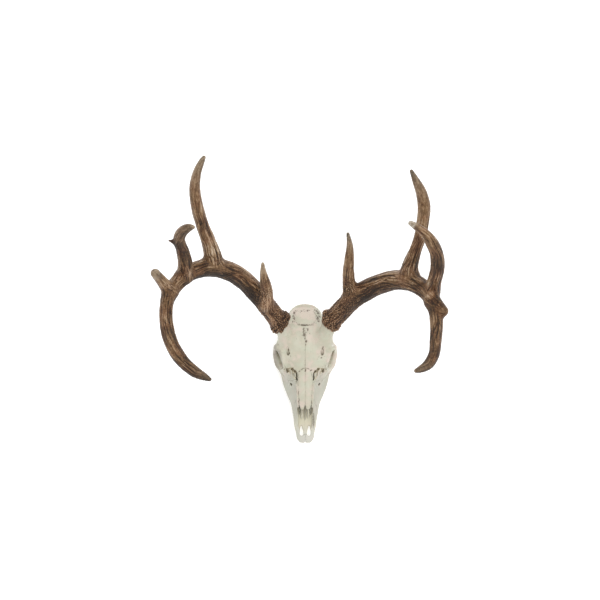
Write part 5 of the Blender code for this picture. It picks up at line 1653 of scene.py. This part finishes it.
def make_antler(side, plan, seed, material):
    beam = Branch(plan["beam"], "beam")
    tines = [Branch(rows, name) for name, rows in plan["tines"].items()]
    foot = beam.rows[0, :3]
    axis = beam.rows[1, :3] - foot
    axis /= np.linalg.norm(axis)
    # The burr leans further out than the beam.
    burr, burr_half, burr_at, (lean_x, lean_up, lean_out) = plan["burr"]
    c, s = math.cos(FOREHEAD_SLOPE), math.sin(FOREHEAD_SLOPE)
    burr_axis = np.array((lean_x, lean_up * c - lean_out * s, lean_up * s + lean_out * c))
    burr_axis /= np.linalg.norm(burr_axis)
    across = np.cross(burr_axis, (0.3, 0.2, 0.93))
    across /= np.linalg.norm(across)
    upwards = np.cross(burr_axis, across)

    def burr_field(p):
        q = p - foot
        w = q @ burr_axis - burr_at
        c, s = q @ across, q @ upwards
        rho, a = np.hypot(c, s), np.arctan2(s, c)
        edge = burr + 0.8 * np.sin(5 * a + 1.0 + seed) + 0.7 * np.sin(9 * a + 2.2 * seed) + 0.5 * np.sin(16 * a)
        lift = 1.0 * np.sin(3 * a + seed) + 0.7 * np.sin(7 * a)
        thick = burr_half + 0.6 * np.sin(6 * a + seed)
        ring = np.hypot(np.maximum(rho - (edge - thick), 0), np.maximum(np.abs(w - lift) - 1.6, 0)) - (thick - 1.2)
        flare = (rho - (edge - 2.5) + 0.50 * np.maximum(w, 0)) * 0.88
        flare = smax(flare, np.maximum(w - 15.0, -w - thick * 0.6), 2.0)
        return smin(ring, flare, 2.5)

    collar = Custom(foot - burr - 8, foot + burr + 8, burr_field)

    def field(p):
        f = beam.tube(p)
        for tine in tines:
            add(f, p, tine.tube, 3.5 if tine.name == "small_point" else 9.0)
        add(f, p, collar, 3.0)
        return f.astype(F32)

    rows = np.concatenate([beam.rows] + [t.rows for t in tines])
    low = (rows[:, :3] - rows[:, 3:]).min(0) - 6
    high = (rows[:, :3] + rows[:, 3:]).max(0) + 6
    low = np.minimum(low, foot - burr - 6)
    high = np.maximum(high, foot + burr + 6)
    fine, low, rough, block = sampled(field, low, high, STEP_ANTLER)
    verts, quads = surface(fine, low, STEP_ANTLER)
    del fine
    verts, quads = whole_only(verts, quads)
    verts = evened(verts, quads, 2, 0.5)
    normals = normals_of(verts, quads)
    (far,) = shelter(field, verts, normals, (9.0,))

    # Each branch's own relief, blended where branches meet.
    parts = [(beam, beam.local(verts))] + [(t, t.local(verts)) for t in tines]
    distances = np.sort(np.stack([loc[:, 0] for _, loc in parts]), axis=0)
    nearest = distances[0]
    alone = ramp(distances[1] - distances[0], 1.0, 9.0)
    names = ("ridges", "groove", "pearl", "seam", "tip", "tone", "under", "end", "outer")
    sums = {name: np.zeros(len(verts)) for name in names}
    share = np.zeros(len(verts))
    grain_at = np.zeros((len(verts), 3))
    lead = np.full(len(verts), 1e9)
    for n, (branch, loc) in enumerate(parts):
        w = np.exp(-(loc[:, 0] - nearest) / 3.2)
        use = np.flatnonzero(w > 0.01)
        d, s, c, k, radius = loc[use].T
        w = w[use]
        own = seed * 100 + n * 7
        full = branch.length[-1]
        is_beam = branch is beam
        # The ridges wander: the pattern is shifted by slow noise before it is read.
        c2, k2 = c * radius, k * radius
        slow_at = np.stack([c2 / 15.0, k2 / 15.0, s / 34.0], 1)
        c3 = c2 + 2.6 * noise(slow_at, own + 30)
        k3 = k2 + 2.6 * noise(slow_at, own + 31)
        near_foot = 150.0 if is_beam else 45.0
        s_mid = stretched(s, 13.0 if is_beam else 20.0, 36.0, 10, near_foot)
        s_small = stretched(s, 4.5 if is_beam else 9.0, 19.0, 10, near_foot)
        s_vein = stretched(s, 24.0, 70.0, 10, near_foot)
        broad = noise(np.stack([c3 / 10.5, k3 / 10.5, s / 75.0], 1), own)
        ridge = noise(np.stack([c3 / 4.2, k3 / 4.2, s_mid], 1), own + 1)
        small = noise(np.stack([c3 / 2.3, k3 / 2.3, s_small], 1), own + 2)
        thread = noise(np.stack([c3 / 1.35, k3 / 1.35, s_small * 1.6], 1), own + 12)
        vein = noise(np.stack([c3 / 6.0, k3 / 6.0, s_vein], 1), own + 3)
        groove = np.exp(-((vein / 0.11) ** 2)) * ramp(noise(np.stack([c2 / 20.0, k2 / 20.0, s / 40.0], 1), own + 6), -0.35, 0.15)
        net = noise(np.stack([c3 / 3.6, k3 / 3.6, s_small * 0.85], 1), own + 8)
        net = np.exp(-((net / 0.13) ** 2))
        strength = ramp(radius, 3.0, 12.0)
        if not is_beam:
            strength = strength * (0.80 - 0.50 * ramp(s / full, 0.35, 0.95))
        else:
            strength = strength * (1.0 - 0.35 * ramp(s / full, 0.55, 1.0))
        # Pearls: round grains in uneven rows, thick at the foot and gone further out.
        first, second, own_cell = cells(np.stack([c3 / 2.9, k3 / 2.9, s / 3.5], 1), own + 4)
        knob = (1 - ramp(first, 0.10, 0.62)) * (0.35 + 0.65 * own_cell)
        seam = 1 - ramp(second - first, 0.04, 0.30)
        if is_beam:
            where = 1 - ramp(s, 55, 165)
        elif branch.name == "brow_tine":
            where = 0.9 * (1 - ramp(s, 28, 80))
        else:
            where = 0.35 * (1 - ramp(s, 10, 60))
        where = where * ramp(noise(np.stack([c2 / 12.0, k2 / 12.0, s / 22.0], 1), own + 5), -0.75, 0.05)
        calm = 0.45 + 0.55 * ramp(noise(np.stack([c2 / 18.0, k2 / 18.0, s / 55.0], 1), own + 9), -0.45, 0.45)
        ridges = strength * (0.85 * broad + calm * (0.46 * ridge + 0.34 * small + 0.20 * thread) - 0.20 * calm * net)
        if branch.name == "small_point" or (side, branch.name) == ("left", "fourth_tine"):
            at_tip = np.zeros(len(s))
        elif is_beam:
            at_tip = ramp(s / full, 0.90, 1.0) * 0.8
        elif (side, branch.name) == ("left", "third_tine"):
            at_tip = ramp(s / full, 0.88, 1.0)
        else:
            at_tip = ramp(s / full, 0.66, 1.0)
        end = ENDS[side].get(branch.name, 0.0) * (ramp(s, full - 24.0, full - 3.0) if ENDS[side].get(branch.name, 0.0) < 0 else ramp(s, full - 12.0, full - 5.0))
        values = {
            "ridges": ridges, "groove": groove * strength, "pearl": knob * where, "seam": seam * where, "tip": at_tip,
            "tone": np.full(len(s), TONES[side].get(branch.name, 0.0)) - (beam_dark(side, s) if is_beam else 0.0),
            "under": np.full(len(s), 1.0 if is_beam else 0.25) * ramp(s, 20, 90), "end": end,
            "outer": ramp(s / full, 0.50, 0.80) if is_beam else ramp(s / full, 0.15, 0.6),
        }
        for name, v in values.items():
            sums[name][use] += w * v
        share[use] += w
        closer = d < lead[use]
        spot = use[closer]
        lead[spot] = d[closer]
        grain_at[spot] = np.stack([c3 + 40 * n, k3, s * 0.075], 1)[closer]
    for name in names:
        sums[name] /= share
    ridges, groove, pearl, seam = (sums[k] for k in ("ridges", "groove", "pearl", "seam"))

    q = verts - foot
    w = q @ burr_axis - burr_at
    rho = np.hypot(q @ across, q @ upwards)
    at_burr = np.exp(-((np.maximum(np.abs(w - 1.0) - 6.0, 0) / 4.5) ** 2)) * ramp(rho, 13.0, 18.0)
    off = 1 - at_burr
    first, second, own_number = cells((verts + 1.2 * noise(verts / 7.0, seed + 60)[:, None]) / 3.9, seed * 50 + 9)
    nub = 1 - ramp(first, 0.08, 0.66)
    crack = 1 - ramp(second - first, 0.03, 0.26)
    grit, grit2, _ = cells(verts / 2.2, seed * 50 + 19)
    grit = 1 - ramp(grit, 0.1, 0.7)
    move = 1.2 * ridges * off - 0.85 * groove * off + (1.05 * pearl - 0.50 * seam) * off
    move += at_burr * (1.6 * nub * (0.35 + own_number) + 0.5 * grit - 1.0 * crack - 0.3)
    move += 0.10 * noise(verts / 2.3, seed + 77)
    move += 0.22 * np.clip(1 - 2.2 * np.abs(noise(verts / 5.0, seed + 78)), 0, 1) * (0.3 + 0.7 * sums["under"])
    verts = verts + normals * move[:, None]
    # Crevices show after the relief is on: how far a place lies under its surroundings.
    smooth = evened(verts, quads, 5, 0.5)
    sunk = ((smooth - verts) * normals).sum(1)
    wider = evened(smooth, quads, 14, 0.5)
    sunk_wide = ((wider - verts) * normals).sum(1)
    # Partly the grooves' stain, partly painted shade from how sheltered each place is.
    hollow = np.clip(np.clip(sunk / 0.50, 0, 1) * 0.75 + np.clip(sunk_wide / 1.6, 0, 1) * 0.4 + 0.5 * np.clip(far - 0.15, 0, 1), 0, 1)
    height = np.clip(-0.85 * sunk / 0.45 - 0.45 * sunk_wide + 0.45 * ridges + 0.5 * pearl - 0.4 * groove, -1.5, 1.5)
    # Painted shade on what faces down the face, and painted light on what faces up it.
    down = np.array((0.0, -math.cos(FOREHEAD_SLOPE), -math.sin(FOREHEAD_SLOPE)))
    facing = normals @ down
    under = ramp(facing, 0.05, 0.85) * sums["under"]
    tone = sums["tone"] - (0.84 if side == "right" else 0.54) * under + 0.12 * ramp(-facing, 0.10, 0.80) * sums["under"] * (1 - sums["outer"]) - 0.40 * at_burr * (1.0 if side == "right" else 0.12)
    for column, row, reach, radius, amount in PATCHES[side]:
        at = np.linalg.norm(verts - np.array(on_face(column, row, reach)), axis=1)
        tone = tone + amount * (1 - ramp(at, radius * 0.35, radius))
    foot_share = (1 - 0.85 * ramp(w, 12, 120)) * (1 - ramp(rho + np.abs(w) * 0.4, 80, 170))
    foot_share = np.clip(np.maximum(foot_share, at_burr), 0, 1)
    ob = make_object(f"antler_{side}", verts, quads, {
        "relief": height, "hollow": hollow, "tip": np.clip(sums["tip"], 0, 1), "foot": foot_share,
        "tone": tone, "end": sums["end"] * (0.72 + 0.75 * noise(verts / 3.0, seed + 88)), "alone": alone * (1 - 0.38 * sums["outer"]), "pearl": np.clip(np.maximum(pearl * off, at_burr * nub), 0, 1), "grain": grain_at,
    }, material)
    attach(ob, "root")
    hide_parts(*[f"antler_{side}_beam_{k}" for k in ("foot", "low", "middle", "tip")], *[f"antler_{side}_{name}" for name in plan["tines"]])
    return ob


# ---------------------------------------------------------------------------------------------------------------
# Floor, light and camera
# ---------------------------------------------------------------------------------------------------------------

def make_floor():
    n = 72
    rings = (0.0, 0.4, 1.0, 2.5, 6.0)
    verts = [(0.0, 0.0, 0.0)]
    for r in rings[1:]:
        verts += [(r * math.cos(2 * math.pi * k / n), r * math.sin(2 * math.pi * k / n), 0.0) for k in range(n)]
    faces = [(0, 1 + k, 1 + (k + 1) % n) for k in range(n)]
    for i in range(len(rings) - 2):
        a, b = 1 + i * n, 1 + (i + 1) * n
        faces += [(a + k, b + k, b + (k + 1) % n, a + (k + 1) % n) for k in range(n)]
    me = bpy.data.meshes.new("floor")
    me.from_pydata(verts, [], faces)
    me.update()
    ob = bpy.data.objects.new("floor", me)
    bpy.context.scene.collection.objects.link(ob)
    m = Nodes("pale_floor")
    at = m.node("ShaderNodeTexCoord").outputs["Object"]
    tone = m.noise(at, 3.0, 2.0)
    m.put(m.shader.inputs["Base Color"], m.mix(m.fade(tone, 0.3, 0.7), (0.900, 0.900, 0.900), (0.925, 0.925, 0.925)))
    m.shader.inputs["Roughness"].default_value = 0.9
    m.shader.inputs["Specular IOR Level"].default_value = 0.1
    # The table shines faintly from below, so that what lies on it throws hardly a shadow.
    m.shader.inputs["Emission Color"].default_value = (1.0, 1.0, 1.0, 1.0)
    m.shader.inputs["Emission Strength"].default_value = 0.34
    m.put(m.shader.inputs["Normal"], m.bump(m.noise(at, 400.0, 2.0), 0.0001, 0.2))
    me.materials.append(m.material)
    return ob


def soft_light(name, towards, width, strength, colour):
    """A far light, as wide in degrees as a large soft box, which comes from that direction."""
    data = bpy.data.lights.new(name, "SUN")
    data.angle = math.radians(width)
    data.energy = strength
    data.color = colour
    ob = bpy.data.objects.new(name, data)
    ob.location = Vector(towards) * 2.0
    ob.rotation_euler = Vector(towards).to_track_quat("Z", "Y").to_euler()
    bpy.context.scene.collection.objects.link(ob)
    return ob


def make_stage():
    make_floor()
    scene = bpy.context.scene
    world = bpy.data.worlds.new("studio")
    world.use_nodes = True
    # A white sweep that is brightest round the horizon and softer overhead.
    tree = world.node_tree
    where = tree.nodes.new("ShaderNodeTexCoord")
    split = tree.nodes.new("ShaderNodeSeparateXYZ")
    tree.links.new(where.outputs["Generated"], split.inputs[0])
    fade = tree.nodes.new("ShaderNodeMapRange")
    fade.interpolation_type = "SMOOTHSTEP"
    for key, value in (("From Min", 0.20), ("From Max", 0.55), ("To Min", 1.06), ("To Max", 0.62)):
        fade.inputs[key].default_value = value
    tree.links.new(split.outputs["Z"], fade.inputs["Value"])
    background = tree.nodes["Background"]
    background.inputs["Color"].default_value = (1.0, 1.0, 1.0, 1.0)
    # The sweep is a little dimmer on the deer's right, so the face has a darker side.
    sides = tree.nodes.new("ShaderNodeMapRange")
    sides.interpolation_type = "SMOOTHSTEP"
    for key, value in (("From Min", -0.9), ("From Max", 0.2), ("To Min", 0.68), ("To Max", 1.0)):
        sides.inputs[key].default_value = value
    tree.links.new(split.outputs["X"], sides.inputs["Value"])
    above = tree.nodes.new("ShaderNodeMapRange")
    above.interpolation_type = "SMOOTHSTEP"
    for key, value in (("From Min", 0.12), ("From Max", 0.38), ("To Min", 0.0), ("To Max", 1.0)):
        above.inputs[key].default_value = value
    tree.links.new(split.outputs["Z"], above.inputs["Value"])
    lost = tree.nodes.new("ShaderNodeMath")
    lost.operation = "SUBTRACT"
    lost.inputs[0].default_value = 1.0
    tree.links.new(sides.outputs[0], lost.inputs[1])
    here = tree.nodes.new("ShaderNodeMath")
    here.operation = "MULTIPLY"
    tree.links.new(lost.outputs[0], here.inputs[0])
    tree.links.new(above.outputs[0], here.inputs[1])
    left = tree.nodes.new("ShaderNodeMath")
    left.operation = "SUBTRACT"
    left.inputs[0].default_value = 1.0
    tree.links.new(here.outputs[0], left.inputs[1])
    product = tree.nodes.new("ShaderNodeMath")
    product.operation = "MULTIPLY"
    tree.links.new(fade.outputs[0], product.inputs[0])
    tree.links.new(left.outputs[0], product.inputs[1])
    tree.links.new(product.outputs[0], background.inputs["Strength"])
    scene.world = world
    soft_light("key_light", (0.12, -0.08, 1.0), 54.0, 1.50, (1.0, 0.99, 0.97))
    soft_light("fill_light", (-0.15, 0.80, 1.0), 70.0, 0.40, (0.99, 0.99, 1.0))
    scene.view_settings.view_transform = "Standard"
    scene.view_settings.look = "None"
    data = bpy.data.cameras.new("camera")
    data.sensor_width = 36.0
    data.lens = 78.0
    data.clip_end = 50.0
    camera = bpy.data.objects.new("camera", data)
    camera.location = (-0.0005, -0.6735, 2.6320)
    camera.rotation_euler = (FOREHEAD_SLOPE, 0.0, 0.0)
    scene.collection.objects.link(camera)
    scene.camera = camera


make_stage()
skull = make_skull(bone_material())
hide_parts("braincase", *[f"{part}_{side}" for part in ("frontal", "nasal", "premaxilla", "maxilla", "zygomatic") for side in ("left", "right")])
teeth = make_teeth(tooth_material())
horn = antler_material()
for number, (side, plan) in enumerate(ANTLERS.items()):
    make_antler(side, plan, number + 1, horn)
